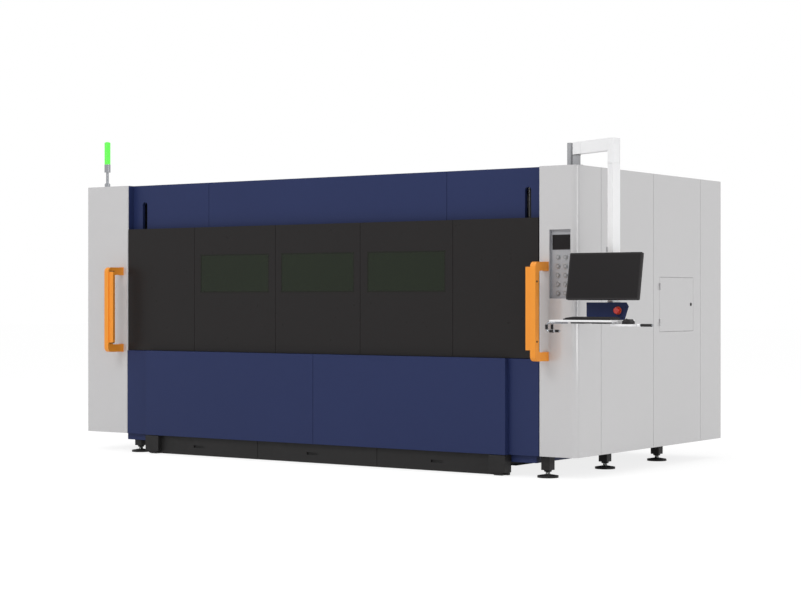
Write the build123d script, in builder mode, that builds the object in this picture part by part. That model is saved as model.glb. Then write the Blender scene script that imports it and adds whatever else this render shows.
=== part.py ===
"""Fiber laser cutting machine for 3 m x 1.5 m sheet, with a lifting front door and a swinging console.

Millimetres, +Z up. Every dimension is measured from the middle of the covers (x, to the right), from the
front face of the corner pillars (y, to the rear) and from the floor (z). The model's own origin is the
underside of the front right levelling foot.
"""
import os
from math import cos, radians, sin

from build123d import *

# Covers as a whole
covers_width = 4602
covers_depth = 2280
covers_height = 2000
covers_clearance = 150  # covers above the floor
sheet = 2  # thickness of the folded sheet
panel_fold = 42  # folded edge of a large cover
seam = 3  # open line between neighbouring covers
left_corner_radius = 10
right_corner_radius = 46
rear_corner_radius = 12
bullnose_radius = 14

# Corner pillars and side covers
left_pillar_width = 446
right_pillar_width = 299
pillar_side_depth = 345  # where the pillar's cover ends on the side
side_seams = (1133, 1909)
roof_fold = 30
roof_count = 3
rear_count = 3
louvre_count = 8
louvre_width = 300
louvre_height = 10
louvre_pitch = 34
louvre_top = 1900

# Machine bed
bed_left = -1850
bed_right = 2100
bed_front = 32
bed_back = 2190
bed_top = 690
bed_wall = 12
bed_left_end_width = 210
bed_right_end_width = 320
front_beam_width = 308
rear_beam_width = 290
ledge_width = 45
ledge_thickness = 10
ledge_top = 620
base_beam_height = 52  # under the bed's ends
base_beam_gap = 7  # beside the drawers
left_base_proud = 30  # past the bed's left end
right_base_inset = 134  # from the bed's right end

# Levelling feet
foot_inset = 70  # from the bed's end
foot_setback = 47  # from the bed's front
foot_pitch = 818
feet_per_side = 3
pad_radius = 74
pad_edge = 14
pad_height = 24
stud_radius = 15
foot_block = 68
foot_block_bottom = 52

# Slag drawers
bank_centre = 70
bank_width = 3374
drawer_count = 3
drawer_gap = 4
drawer_front_y = -5
drawer_front_fold = 30
drawer_bottom = 6
drawer_top = 146
tray_bottom = 76
tray_side_gap = 30  # from a drawer's edge to its tray
tray_depth = 1500
pull_width = 104
pull_height = 26
pull_depth = 14
pull_bar = 7
pull_z = 78
pull_offset = -34
drawer_foot_width = 136
drawer_foot_depth = 84
drawer_foot_proud = 40
drawer_foot_lift = 24
drawer_foot_floor_gap = 3
drawer_pad_width = 80
drawer_pad_length = 60
drawer_pad_chamfer = 9
runner_web = 8
runner_flange = 80
runner_thickness = 4

# Cabin frame
post_size = 60
post_y = 160
rear_post_y = 2120
tube_wall = 4
rail_height = 40
cross_tube_width = 60
inner_cross_tubes_y = (740, 1520)
outrigger_size = 40
outriggers_y = (200, 740, 1520, 2120)

# Loading opening, fascia and door
fascia_y = 70
fascia_fold = 29
fascia_bottom = 1750
fascia_centre_half = 1123
jamb_width = 229
apron_top = 820
lower_panel_proud = 42
lower_panel_top = 822
slot_offset = 1802  # from the middle of the opening
slot_width = 50
slot_bottom = 1000
slot_top = 2016
door_y = 5
door_bottom = 824
door_top = 1797
door_side_gap = 5
door_skin = 6
door_tube = 30
door_seams = (-1217, -400, 400, 1217)  # from the middle of the opening
window_width = 690
window_height = 297
window_bottom = 1285
window_recess = 1
arm_width = 30
arm_height = 60
arm_z = 1050
guide_rail_width = 24
guide_rail_depth = 18
guide_clearance = 0.3
lift_block_height = 90
lift_block_depth = 24
lift_block_gap = 3  # behind the fascia
cylinder_size = 44
sill_depth = 73

# Light curtains and their guards
left_guard_inset = 45  # from the pillar's inner edge
right_guard_inset = 37
guard_width = 42
guard_depth = 176
guard_bar_depth = 49
guard_bottom = 809
guard_height = 680
guard_arm_height = 60
guard_corner_radius = 38
guard_inner_radius = 18
guard_flange = 5
guard_flange_margin = 2
curtain_width = 42
curtain_depth = 24
curtain_bottom = 885
curtain_height = 569
curtain_setback = 10

# Signal lamp
lamp_x = -2174
lamp_y = 100
lamp_base_radius = 23
lamp_base_height = 40
lamp_pole_radius = 11.5
lamp_pole_height = 125  # from the roof to the body
lamp_body_radius = 25
lamp_body_height = 66
lamp_lens_height = 186

# Recessed control panel
recess_inset = 85  # from the pillar's inner edge
recess_width = 168
recess_bottom = 1237
recess_height = 475
recess_depth = 26
display_width = 144
display_height = 103
display_bottom = 1573
display_thickness = 4
button_columns = 2
button_rows = 5
button_spacing = 58
button_pitch = 62
button_top_z = 1522
button_radius = 14
button_clearance = 0.3
button_proud = 8
button_collar = 3
button_tail = 12
bezel_width = 4
bezel_height = 4

# Console
pivot_x = 2217
pivot_y = 150
pivot_radius = 27
pivot_flange_radius = 45
pivot_flange = 8
pivot_post_width = 28
pivot_post_gap = 39
boom_lift = 80  # above the roof
boom_height = 83
boom_width = 60
boom_length = 437
boom_angle = -25.9
boom_head_radius = 28
boom_neck_length = 92
boom_groove = 5
pin_radius = 12
pin_clearance = 0.06
pin_length = 60
elbow_size = 70
elbow_radius = 18
elbow_drop = 87  # below the boom
elbow_height = 166
drop_tube_size = 60
drop_tube_wall = 3
tilt_z = 1374
tilt_forward = 72  # from the drop tube's axis to the tilt pin
tilt_angle = 10.7
tilt_pin_radius = 8
tilt_arm_width = 40
tilt_arm_height = 28
ear_thickness = 18
ear_gap = 2
ear_radius = 16
monitor_offset = 46
monitor_width = 543
monitor_height = 318
monitor_thickness = 24
monitor_radius = 8
monitor_bezel = 11
screen_depth = 2
screen_recess = 0.5
monitor_back_width = 300
monitor_back_height = 170
monitor_back_depth = 26
box_left_of_tube = 170  # measured from the drop tube's axis
box_ahead_of_tube = 69
box_top_width = 320
box_taper = 31
box_corner = 26
box_depth = 120
box_back_inset = 84  # how much narrower the back is at each side
box_bottom = 1096
box_height = 116
stop_from_left = 240  # measured from the box's left end
stop_above_tray = 62
stop_radius = 22
stop_neck_radius = 11
stop_neck = 12
stop_head = 15
stop_collar_radius = 27
stop_collar_height = 4
stop_clearance = 0.3
stop_tail = 20
tray_left_of_box = 161
tray_ahead_of_box = 220
tray_width = 470
tray_back_inset = 20  # in front of the box's back
tray_thickness = 14
tray_edge_radius = 6
keyboard_from_left = 90  # measured from the tray's left end
keyboard_setback = 30  # from the tray's front
keyboard_width = 353
keyboard_depth = 135
keyboard_height = 16
key_rows = 5
key_height = 4
mouse_shelf_from_left = 421
mouse_shelf_setback = 40
mouse_shelf_width = 166
mouse_shelf_depth = 180
mouse_shelf_drop = 26
mouse_shelf_thickness = 14
mouse_width = 62
mouse_length = 104
mouse_height = 32
handle_radius = 7
handle_bend = 16
handle_reach = 66
handle_drop = 56
handle_tail = 62
handle_spread = 72
handle_setback = 115
rod_length = 116
rod_setback = 130

# Side hatch
hatch_front = 1231
hatch_width = 556
hatch_bottom = 992
hatch_height = 404
hatch_gap = 2
hatch_fold = 20
hinge_axis_out = 6
hinge_radius = 5.6
hinge_knuckle = 25
hinge_leaf = 26
hinge_pin_radius = 2.5
hinge_pin_clearance = 0.05
hinge_inset = 70
lock_radius = 10
lock_flange = 13
lock_clearance = 0.06
lock_from_edge = 41
lock_cam_length = 52
lock_cam_width = 14
lock_cam_thickness = 4
lock_cam_gap = 2  # behind the folded edges
key_slot = 2

# Cutting table
sheet_length = 3000
sheet_front = 385
table_left = -1500
table_right = 1640
table_tube_width = 40
table_tube_height = 60
comb_thickness = 4
comb_height = 65
slat_count = 31
slat_pitch = 100
slat_thickness = 3
slat_height = 100
slat_bottom = 715
slat_clearance = 0.4
slat_teeth = 12
slat_tooth_depth = 30

# Gantry, carriage and cutting head
rail_width = 30
rail_rise = 30
rail_ends = (-1840, 1700)
front_rail_y = 290
rear_rail_y = 1980
rack_width = 25
rack_height = 22
bearing_width = 80
bearing_length = 90
bearing_lift = 5
bearing_clearance = 0.2
saddle_bottom = 735
saddle_length = 280
saddle_width = 110
beam_width = 220
beam_bottom = 960
beam_height = 280
beam_chamfer = 40
beam_wall = 10
drive_size = 90
drive_height = 170
drive_motor_radius = 38
cross_rail_size = 20
cross_rail_inset = 10
cross_rails_z = (1000, 1200)
head_offset = 190
carriage_width = 180
carriage_height = 250
carriage_thickness = 18
carriage_bearing_length = 60
head_width = 70
head_depth = 60
head_bottom = 1040
head_height = 200
slide_thickness = 10
slide_width = 90
slide_height = 300
nozzle_tip_z = 945
collimator_radius = 24
collimator_height = 90

# Laser source behind the hatch
source_left = 1920
source_width = 260
source_front = 1150
source_depth = 720
source_height = 790
source_foot = 30
source_radius = 12
source_vents = 6

covers_top = covers_clearance + covers_height
covers_left = -covers_width / 2
covers_right = covers_width / 2
opening_left = covers_left + left_pillar_width
opening_right = covers_right - right_pillar_width
shift_x = foot_inset - bed_right
shift_y = -(bed_front + foot_setback)


def front_at(y):
    """Plane seen from the front at depth y: its x is the machine's x and its y is the height."""
    return Plane(origin=(shift_x, shift_y + y, 0), x_dir=(1, 0, 0), z_dir=(0, -1, 0))


def side_at(x):
    """Plane across the machine at x: its x runs to the rear and its y is the height."""
    return Plane(origin=(shift_x + x, shift_y, 0), x_dir=(0, 1, 0), z_dir=(1, 0, 0))


def level_at(z):
    """Level plane at height z: its x runs to the right and its y to the rear."""
    return Plane(origin=(shift_x, shift_y, z))


def place(x, y, z):
    """A point of the machine as a point of the model."""
    return (shift_x + x, shift_y + y, z)


def middle(span):
    return (span[0] + span[1]) / 2


def extent(span):
    return abs(span[1] - span[0])


def rectangle_on(plane, x, y):
    """A rectangle between two low and high pairs on a plane."""
    with BuildSketch(plane) as outline:
        with Locations((middle(x), middle(y))):
            Rectangle(extent(x), extent(y))
    return outline.sketch


def prism(plane, x, y, length, mode=Mode.ADD):
    """A straight block from a rectangle on a plane, put into the open part."""
    extrude(rectangle_on(plane, x, y), amount=length, mode=mode)


def round_on(plane, x, y, radius, length, mode=Mode.ADD):
    """A straight round bar from a circle on a plane, put into the open part."""
    with BuildSketch(plane) as outline:
        with Locations((x, y)):
            Circle(radius)
    extrude(outline.sketch, amount=length, mode=mode)


def folded_panel(plane, x, y, fold):
    """A sheet with its four edges folded by `fold` along the plane's normal, put into the open part."""
    step = sheet if fold > 0 else -sheet
    prism(plane, x, y, fold)
    inner_x = (x[0] + sheet, x[1] - sheet)
    inner_y = (y[0] + sheet, y[1] - sheet)
    prism(plane.offset(step), inner_x, inner_y, fold - step, Mode.SUBTRACT)


def tube(plane, x, y, length, wall, cap=0):
    """A rectangular tube that starts open on its plane and may be closed at its far end."""
    prism(plane, x, y, length)
    prism(plane, (x[0] + wall, x[1] - wall), (y[0] + wall, y[1] - wall), length - cap, Mode.SUBTRACT)


def around(centre, size):
    return (centre - size / 2, centre + size / 2)


def split_span(low, high, count, gap):
    """Equal spans with a gap between each two."""
    width = (high - low - gap * (count - 1)) / count
    return [(low + i * (width + gap), low + i * (width + gap) + width) for i in range(count)]


def keep(name, *built):
    """Label a finished piece, or several that are bolted together, and write it."""
    shape = built[0].part
    if len(built) > 1:
        shape = Compound([solid for piece in built for solid in piece.part.solids()])
    shape.label = name
    export_step(shape, f"parts/{name}.step")


os.makedirs("parts", exist_ok=True)


# Slag drawers and covers, measured first because the bed keeps clear of them
bank = around(bank_centre, bank_width)
cover_inside = (covers_left + sheet, covers_right - sheet)

# Machine bed: two end boxes, a front and a rear box beam with ledges for the table bolted between them,
# outriggers that carry the side covers and a base beam under each end, beside the drawers
end_spans = ((bed_left, bed_left + bed_left_end_width), (bed_right - bed_right_end_width, bed_right))
front_beam = (bed_front, bed_front + front_beam_width)
rear_beam = (bed_back - rear_beam_width, bed_back)
well = (end_spans[0][1], end_spans[1][0])
bed_bottom = covers_clearance
with BuildPart() as bed_ends:
    for span in end_spans:
        tube(front_at(bed_back), span, (bed_bottom, bed_top), bed_back - bed_front, bed_wall, bed_wall)
with BuildPart() as cross_beams:
    for span, ledge in (
        (front_beam, (front_beam[1] - bed_wall, front_beam[1] + ledge_width)),
        (rear_beam, (rear_beam[0] - ledge_width, rear_beam[0] + bed_wall)),
    ):
        with BuildSketch(side_at(well[0])) as profile:
            add(rectangle_on(Plane.XY, span, (bed_bottom, bed_top)))
            add(rectangle_on(Plane.XY, ledge, (ledge_top - ledge_thickness, ledge_top)))
            hollow_y = (span[0] + bed_wall, span[1] - bed_wall)
            hollow_z = (bed_bottom + bed_wall, bed_top - bed_wall)
            add(rectangle_on(Plane.XY, hollow_y, hollow_z), mode=Mode.SUBTRACT)
        extrude(profile.sketch, amount=extent(well))
outrigger_z = (bed_bottom + sheet, bed_bottom + sheet + outrigger_size)
with BuildPart() as outriggers:
    for y in outriggers_y:
        for start, end in ((cover_inside[0], bed_left), (bed_right, cover_inside[1])):
            tube(side_at(start), around(y, outrigger_size), outrigger_z, end - start, tube_wall)
base_spans = (
    (bed_left - left_base_proud, bank[0] - base_beam_gap),
    (bank[1] + base_beam_gap, bed_right - right_base_inset),
)
base_bottom = bed_bottom - base_beam_height
with BuildPart() as base_beams:
    for span in base_spans:
        prism(level_at(base_bottom), span, (bed_front, bed_back), base_beam_height)
keep("bed_beams", bed_ends, cross_beams, outriggers, base_beams)

# Levelling feet: round pad, stud and clamp block
feet_x = (bed_left + foot_inset, bed_right - foot_inset)
feet_y = [bed_front + foot_setback + i * foot_pitch for i in range(feet_per_side)]
with BuildPart() as levelling_feet:
    for x in feet_x:
        under_beam = any(span[0] < x < span[1] for span in base_spans)
        block_top = base_bottom if under_beam else bed_bottom
        for y in feet_y:
            with BuildSketch(Plane(origin=place(x, y, 0), x_dir=(1, 0, 0), z_dir=(0, -1, 0))):
                with BuildLine():
                    Polyline(
                        (0, 0),
                        (pad_radius, 0),
                        (pad_radius, pad_edge),
                        (stud_radius, pad_height),
                        (stud_radius, foot_block_bottom),
                        (0, foot_block_bottom),
                        close=True,
                    )
                make_face()
            revolve(axis=Axis(place(x, y, 0), (0, 0, 1)))
            block = rectangle_on(level_at(foot_block_bottom), around(x, foot_block), around(y, foot_block))
            extrude(block, amount=block_top - foot_block_bottom)
keep("levelling_feet", levelling_feet)

# Slag drawers under the front, the outer two with a foot at their outer corner
drawer_spans = split_span(*bank, drawer_count, drawer_gap)
drawer_names = ("slag_drawer_left", "slag_drawer_middle", "slag_drawer_right")
front_inside = drawer_front_y + sheet
tray_back = drawer_front_y + tray_depth


def slag_drawer(span, foot=None):
    """Folded front with a pull, and an open tray behind it. The foot is an x span."""
    tray_x = (span[0] + tray_side_gap, span[1] - tray_side_gap)
    pull_x = around(middle(span) + pull_offset, pull_width)
    pull_box = around(pull_z, pull_height)
    with BuildPart() as drawer:
        folded_panel(front_at(drawer_front_y), span, (drawer_bottom, drawer_top), -drawer_front_fold)
        prism(front_at(front_inside), tray_x, (tray_bottom, drawer_top), front_inside - tray_back)
        tray_front_wall = drawer_front_y + drawer_front_fold
        prism(
            front_at(tray_front_wall + sheet),
            (tray_x[0] + sheet, tray_x[1] - sheet),
            (tray_bottom + sheet, drawer_top),
            tray_front_wall + 2 * sheet - tray_back,
            Mode.SUBTRACT,
        )
        if foot:
            foot_front = drawer_front_y - drawer_foot_proud
            prism(front_at(foot_front), foot, (drawer_foot_lift, drawer_top), -drawer_foot_depth)
            pad_x = around(middle(foot), drawer_pad_width)
            pad_y = around(foot_front + drawer_foot_depth / 2, drawer_pad_length)
            pad_edge = drawer_foot_floor_gap + drawer_pad_chamfer
            prism(level_at(pad_edge), pad_x, pad_y, drawer_foot_lift - pad_edge)
            extrude(rectangle_on(level_at(pad_edge), pad_x, pad_y), amount=-drawer_pad_chamfer, taper=45)
        prism(front_at(drawer_front_y), pull_x, pull_box, -pull_depth, Mode.SUBTRACT)
        pan_x = (pull_x[0] - sheet, pull_x[1] + sheet)
        pan_z = (pull_box[0] - sheet, pull_box[1] + sheet)
        prism(front_at(front_inside), pan_x, pan_z, sheet - pull_depth)
        prism(front_at(drawer_front_y), pull_x, pull_box, sheet - pull_depth, Mode.SUBTRACT)
        bar_z = (pull_box[1] - pull_bar, pull_box[1])
        prism(front_at(drawer_front_y), pull_x, bar_z, -sheet)
    return drawer


outer_feet = {
    0: (drawer_spans[0][0], drawer_spans[0][0] + drawer_foot_width),
    drawer_count - 1: (drawer_spans[-1][1] - drawer_foot_width, drawer_spans[-1][1]),
}
for number, name in enumerate(drawer_names):
    keep(name, slag_drawer(drawer_spans[number], outer_feet.get(number)))

# Runners hang from the bed's beams between the trays and carry them on their flanges
runner_front = drawer_front_y - drawer_foot_proud + drawer_foot_depth + drawer_gap
runner_x = [bank[0] + sheet] + [span[1] + drawer_gap / 2 for span in drawer_spans[:-1]] + [bank[1] - sheet]
with BuildPart() as drawer_runners:
    for x in runner_x:
        web_z = (tray_bottom, covers_clearance)
        flange_z = (tray_bottom - runner_thickness, tray_bottom)
        prism(front_at(runner_front), around(x, runner_web), web_z, runner_front - bed_back)
        prism(front_at(runner_front), around(x, runner_flange), flange_z, runner_front - bed_back)
keep("drawer_runners", drawer_runners)

# Cabin frame: posts on the bed, side rails and cross tubes under the roof
opening_middle = middle((opening_left, opening_right))
post_x = (opening_middle - slot_offset, opening_middle + slot_offset)
fascia_back = fascia_y + fascia_fold
frame_y = (fascia_back, covers_depth - panel_fold)
cross_tubes_y = (
    frame_y[0] + cross_tube_width / 2,
    *inner_cross_tubes_y,
    frame_y[1] - cross_tube_width / 2,
)
roof_underside = covers_top - roof_fold
cross_bottom = roof_underside - rail_height
rail_bottom = cross_bottom - rail_height
with BuildPart() as cabin_frame:
    for x in post_x:
        for y in (post_y, rear_post_y):
            post = (around(x, post_size), around(y, post_size))
            tube(level_at(bed_top), *post, rail_bottom - bed_top, tube_wall)
        rail_z = (rail_bottom, cross_bottom)
        tube(front_at(frame_y[1]), around(x, post_size), rail_z, extent(frame_y), tube_wall)
    for y in cross_tubes_y:
        tube(
            side_at(cover_inside[0]),
            around(y, cross_tube_width),
            (cross_bottom, roof_underside),
            extent(cover_inside),
            tube_wall,
        )
keep("cabin_frame", cabin_frame)


def pillar_cover(inner, outer, corner_radius):
    """Corner cover: bullnosed inner edge, rounded outer corner, capped at both ends, open to the rear."""
    toward = 1 if outer > inner else -1

    def plan(inset):
        with BuildSketch(Plane.XY) as outline:
            x = (inner + toward * inset, outer - toward * inset)
            with Locations((middle(x), middle((inset, pillar_side_depth)))):
                Rectangle(extent(x), pillar_side_depth - inset)
            ahead = outline.vertices().group_by(Axis.Y)[0].sort_by(Axis.X)
            inside_first = ahead if toward > 0 else ahead[::-1]
            fillet(inside_first[0], bullnose_radius - inset)
            fillet(
                outline.vertices().group_by(Axis.Y)[0].sort_by(Axis.X)[-1 if toward > 0 else 0],
                corner_radius - inset,
            )
        return outline.sketch

    with BuildPart() as cover:
        with BuildSketch(level_at(covers_clearance)):
            add(plan(0))
        extrude(amount=covers_height)
        with BuildSketch(level_at(covers_clearance + sheet)):
            add(plan(sheet))
        extrude(amount=covers_height - 2 * sheet, mode=Mode.SUBTRACT)
        wall_x = sorted((inner - toward, inner + toward * sheet))
        prism(
            level_at(covers_clearance + sheet),
            wall_x,
            (fascia_back, pillar_side_depth + 1),
            covers_height - 2 * sheet,
            Mode.SUBTRACT,
        )
    return cover


keep("left_pillar_cover", pillar_cover(opening_left, covers_left, left_corner_radius))

recess_x = (opening_right + recess_inset, opening_right + recess_inset + recess_width)
recess_z = (recess_bottom, recess_bottom + recess_height)
right_pillar_cover = pillar_cover(opening_right, covers_right, right_corner_radius)
with BuildPart() as right_pillar_cut:
    add(right_pillar_cover.part)
    prism(front_at(0), recess_x, recess_z, -sheet, Mode.SUBTRACT)
    # Room for the bed's end, which stands inside the pillar
    prism(
        front_at(bed_front),
        (opening_right - 1, bed_right),
        (covers_clearance, bed_top),
        bed_front - pillar_side_depth - 1,
        Mode.SUBTRACT,
    )
keep("right_pillar_cover", right_pillar_cut)

# Side covers: a plain one, one that holds the hatch and one that turns the rear corner
side_spans = (
    (pillar_side_depth + seam, side_seams[0]),
    (side_seams[0] + seam, side_seams[1]),
    (side_seams[1] + seam, covers_depth),
)
covers_z = (covers_clearance, covers_top)
inside_width = panel_fold


def rear_corner(toward):
    """Cover that wraps the rear corner, open to the inside. `toward` is 1 at the right, -1 at the left."""
    outer = covers_right * toward
    inner = outer - toward * inside_width
    span = side_spans[2]
    with BuildSketch(level_at(covers_clearance)) as outline:
        with Locations((middle((inner, outer)), middle(span))):
            Rectangle(inside_width, extent(span))
        behind = outline.vertices().group_by(Axis.Y)[-1].sort_by(Axis.X)
        fillet(behind[-1 if toward > 0 else 0], rear_corner_radius)
    extrude(outline.sketch, amount=covers_height)
    with BuildSketch(level_at(covers_clearance + sheet)) as hollow:
        hollow_x = (inner - toward, outer - toward * sheet)
        with Locations((middle(hollow_x), middle(span))):
            Rectangle(extent(hollow_x), extent(span) - 2 * sheet)
        behind = hollow.vertices().group_by(Axis.Y)[-1].sort_by(Axis.X)
        fillet(behind[-1 if toward > 0 else 0], rear_corner_radius - sheet)
    extrude(hollow.sketch, amount=covers_height - 2 * sheet, mode=Mode.SUBTRACT)


with BuildPart() as left_side_panels:
    for span in side_spans[:2]:
        folded_panel(side_at(covers_left), span, covers_z, panel_fold)
    rear_corner(-1)
keep("left_side_panels", left_side_panels)

with BuildPart() as right_side_panels:
    folded_panel(side_at(covers_right), side_spans[0], covers_z, -panel_fold)
    rear_corner(1)
keep("right_side_panels", right_side_panels)

# Hatch: its opening, its hinges on the outside and its quarter turn lock
hatch_y = (hatch_front, hatch_front + hatch_width)
hatch_z = (hatch_bottom, hatch_bottom + hatch_height)
leaf_y = (hatch_y[0] + hatch_gap, hatch_y[1] - hatch_gap)
leaf_z = (hatch_z[0] + hatch_gap, hatch_z[1] - hatch_gap)
hinge_line_y = hatch_y[0] + hatch_gap / 2
hinge_line_x = covers_right + hinge_axis_out
hinge_z = (hatch_z[0] + hinge_inset, hatch_z[1] - hinge_inset)


def knuckle(bottom, leaf_span):
    """Half of a hinge: a barrel on the hinge line and a plate on the cover."""
    with BuildSketch(level_at(bottom)) as outline:
        with Locations((hinge_line_x, hinge_line_y)):
            Circle(hinge_radius)
        plate_x = (covers_right, covers_right + sheet)
        with Locations((middle(plate_x), middle(leaf_span))):
            Rectangle(sheet, extent(leaf_span))
    extrude(outline.sketch, amount=hinge_knuckle)


with BuildPart() as hatch_panel:
    folded_panel(side_at(covers_right), side_spans[1], covers_z, -panel_fold)
    rim_y = (hatch_y[0] - sheet, hatch_y[1] + sheet)
    rim_z = (hatch_z[0] - sheet, hatch_z[1] + sheet)
    prism(side_at(covers_right), rim_y, rim_z, -hatch_fold)
    prism(side_at(covers_right), hatch_y, hatch_z, -hatch_fold, Mode.SUBTRACT)
    for z in hinge_z:
        knuckle(z - hinge_knuckle, (hinge_line_y - hinge_leaf, hinge_line_y))
        with BuildSketch(level_at(z)):
            with Locations((hinge_line_x, hinge_line_y)):
                Circle(hinge_pin_radius)
        extrude(amount=hinge_knuckle)
keep("hatch_panel", hatch_panel)

lock_y = hatch_y[1] - lock_from_edge
lock_depth = hatch_fold + lock_cam_gap
lock_z = middle(hatch_z)
with BuildPart() as side_hatch:
    folded_panel(side_at(covers_right), leaf_y, leaf_z, -hatch_fold)
    for z in hinge_z:
        knuckle(z, (hinge_line_y, hinge_line_y + hinge_leaf))
        with BuildSketch(level_at(z)):
            with Locations((hinge_line_x, hinge_line_y)):
                Circle(hinge_pin_radius + hinge_pin_clearance)
        extrude(amount=hinge_knuckle, mode=Mode.SUBTRACT)
    with BuildSketch(side_at(covers_right)):
        with Locations((lock_y, lock_z)):
            Circle(lock_radius + lock_clearance)
    extrude(amount=-sheet, mode=Mode.SUBTRACT)
keep("side_hatch", side_hatch)

with BuildPart() as hatch_lock:
    with BuildSketch(side_at(covers_right - lock_depth)):
        with Locations((lock_y, lock_z)):
            Circle(lock_radius)
    extrude(amount=lock_depth)
    with BuildSketch(side_at(covers_right)):
        with Locations((lock_y, lock_z)):
            Circle(lock_flange)
            Rectangle(key_slot, lock_radius, mode=Mode.SUBTRACT)
    extrude(amount=sheet)
    prism(
        side_at(covers_right - lock_depth),
        around(lock_y, lock_cam_width),
        (lock_z - lock_cam_length, lock_z),
        -lock_cam_thickness,
    )
keep("hatch_lock", hatch_lock)

# Rear covers with louvres in the outer ones, and the roof
rear_spans = split_span(
    covers_left + inside_width + seam, covers_right - inside_width - seam, rear_count, seam
)
with BuildPart() as rear_panels:
    for span in rear_spans:
        folded_panel(front_at(covers_depth), span, covers_z, panel_fold)
    for span in (rear_spans[0], rear_spans[-1]):
        for row in range(louvre_count):
            louvre_z = around(louvre_top - row * louvre_pitch, louvre_height)
            prism(
                front_at(covers_depth), around(middle(span), louvre_width), louvre_z, sheet, Mode.SUBTRACT
            )
keep("rear_panels", rear_panels)

roof_y = (fascia_back + seam, covers_depth - panel_fold - seam)
side_roof_y = (pillar_side_depth + seam, roof_y[1])
with BuildPart() as roof_panels:
    for span in split_span(opening_left, opening_right, roof_count, seam):
        folded_panel(level_at(covers_top), span, roof_y, -roof_fold)
    for span in (
        (covers_left + panel_fold + seam, opening_left - seam),
        (opening_right + seam, covers_right - panel_fold - seam),
    ):
        folded_panel(level_at(covers_top), span, side_roof_y, -roof_fold)
keep("roof_panels", roof_panels)


def slot_outline(plane, x, z, width, round_end):
    """Upright slot that is round at its top or bottom end and cut off square at the other."""
    radius = width / 2
    straight = (z[0] + radius, z[1]) if round_end == "bottom" else (z[0], z[1] - radius)
    with BuildSketch(plane) as outline:
        with Locations((x, middle(straight))):
            Rectangle(width, extent(straight))
        with Locations((x, straight[0] if round_end == "bottom" else straight[1])):
            Circle(radius)
    return outline.sketch


def door_slot(x, z, round_end):
    """Lined slot for a door arm through the whole depth of the fascia."""
    liner = (z[0] - sheet, z[1]) if round_end == "bottom" else (z[0], z[1] + sheet)
    lined = slot_outline(front_at(fascia_y), x, liner, slot_width + 2 * sheet, round_end)
    extrude(lined, amount=-fascia_fold)
    cut = slot_outline(front_at(fascia_y), x, z, slot_width, round_end)
    extrude(cut, amount=-fascia_fold, mode=Mode.SUBTRACT)


def side_return(toward, z):
    """Strip that covers the pillar's inner wall in front of the fascia or a jamb, at its left or right."""
    wall = opening_right if toward > 0 else opening_left
    strip_x = sorted((wall, wall - toward * sheet))
    prism(level_at(z[0]), strip_x, (bullnose_radius, fascia_y), extent(z))


# Fascia above the opening, the jambs behind the door's ends, and the apron below
with BuildPart() as fascia_panels:
    half = fascia_centre_half - seam / 2
    top_z = (fascia_bottom, covers_top)
    folded_panel(
        front_at(fascia_y), (opening_middle - half, opening_middle + half), top_z, -fascia_fold
    )
    for toward, span, x in (
        (-1, (opening_left, opening_middle - half - seam), post_x[0]),
        (1, (opening_middle + half + seam, opening_right), post_x[1]),
    ):
        folded_panel(front_at(fascia_y), span, top_z, -fascia_fold)
        side_return(toward, top_z)
        door_slot(x, (fascia_bottom, slot_top), "top")
keep("fascia_panels", fascia_panels)

with BuildPart() as door_jambs:
    for toward, span, x in (
        (-1, (opening_left, opening_left + jamb_width), post_x[0]),
        (1, (opening_right - jamb_width, opening_right), post_x[1]),
    ):
        jamb_z = (lower_panel_top, fascia_bottom)
        folded_panel(front_at(fascia_y), span, jamb_z, -fascia_fold)
        side_return(toward, jamb_z)
        door_slot(x, (slot_bottom, fascia_bottom), "bottom")
keep("door_jambs", door_jambs)

with BuildPart() as apron_panel:
    folded_panel(front_at(0), (opening_left, opening_right), (covers_clearance, apron_top), -bed_front)
keep("apron_panel", apron_panel)

with BuildPart() as lower_front_panels:
    for span in split_span(*bank, 2, seam):
        folded_panel(
            front_at(-lower_panel_proud), span, (covers_clearance, lower_panel_top), -lower_panel_proud
        )
keep("lower_front_panels", lower_front_panels)

with BuildPart() as sill_rail:
    tube(side_at(well[0]), (bed_front, bed_front + sill_depth), (bed_top, apron_top), extent(well), tube_wall)
keep("sill_rail", sill_rail)

# Lifting door: five dark skins on a tube frame, with three tinted windows
door_x = (opening_left + door_side_gap, opening_right - door_side_gap)
door_z = (door_bottom, door_top)
door_lines = [door_x[0]] + [opening_middle + line for line in door_seams] + [door_x[1]]
skin_back = door_y + door_skin
frame_back = skin_back + door_tube
window_z = (window_bottom, window_bottom + window_height)
window_spans = [around(middle(door_lines[i : i + 2]), window_width) for i in (1, 2, 3)]
edge_stiles = [door_x[0] + door_tube / 2, door_x[1] - door_tube / 2]
stile_x = edge_stiles + list(post_x) + door_lines[1:-1]
with BuildPart() as door_frame:
    for z in (door_z[0] + door_tube / 2, door_z[1] - door_tube / 2):
        tube(
            side_at(door_x[0]), (skin_back, frame_back), around(z, door_tube), extent(door_x), tube_wall
        )
    for x in stile_x:
        tube(
            level_at(door_z[0] + door_tube),
            around(x, door_tube),
            (skin_back, frame_back),
            extent(door_z) - 2 * door_tube,
            tube_wall,
        )
keep("door_frame", door_frame)

with BuildPart() as door_panels:
    for number in range(len(door_lines) - 1):
        low = door_lines[number] + (seam / 2 if number else 0)
        high = door_lines[number + 1] - (seam / 2 if number < len(door_lines) - 2 else 0)
        prism(front_at(door_y), (low, high), door_z, -door_skin)
    for span in window_spans:
        prism(front_at(door_y), span, window_z, -door_skin, Mode.SUBTRACT)
keep("door_panels", door_panels)

with BuildPart() as door_windows:
    for span in window_spans:
        prism(front_at(door_y + window_recess), span, window_z, window_recess - door_skin)
keep("door_windows", door_windows)

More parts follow.
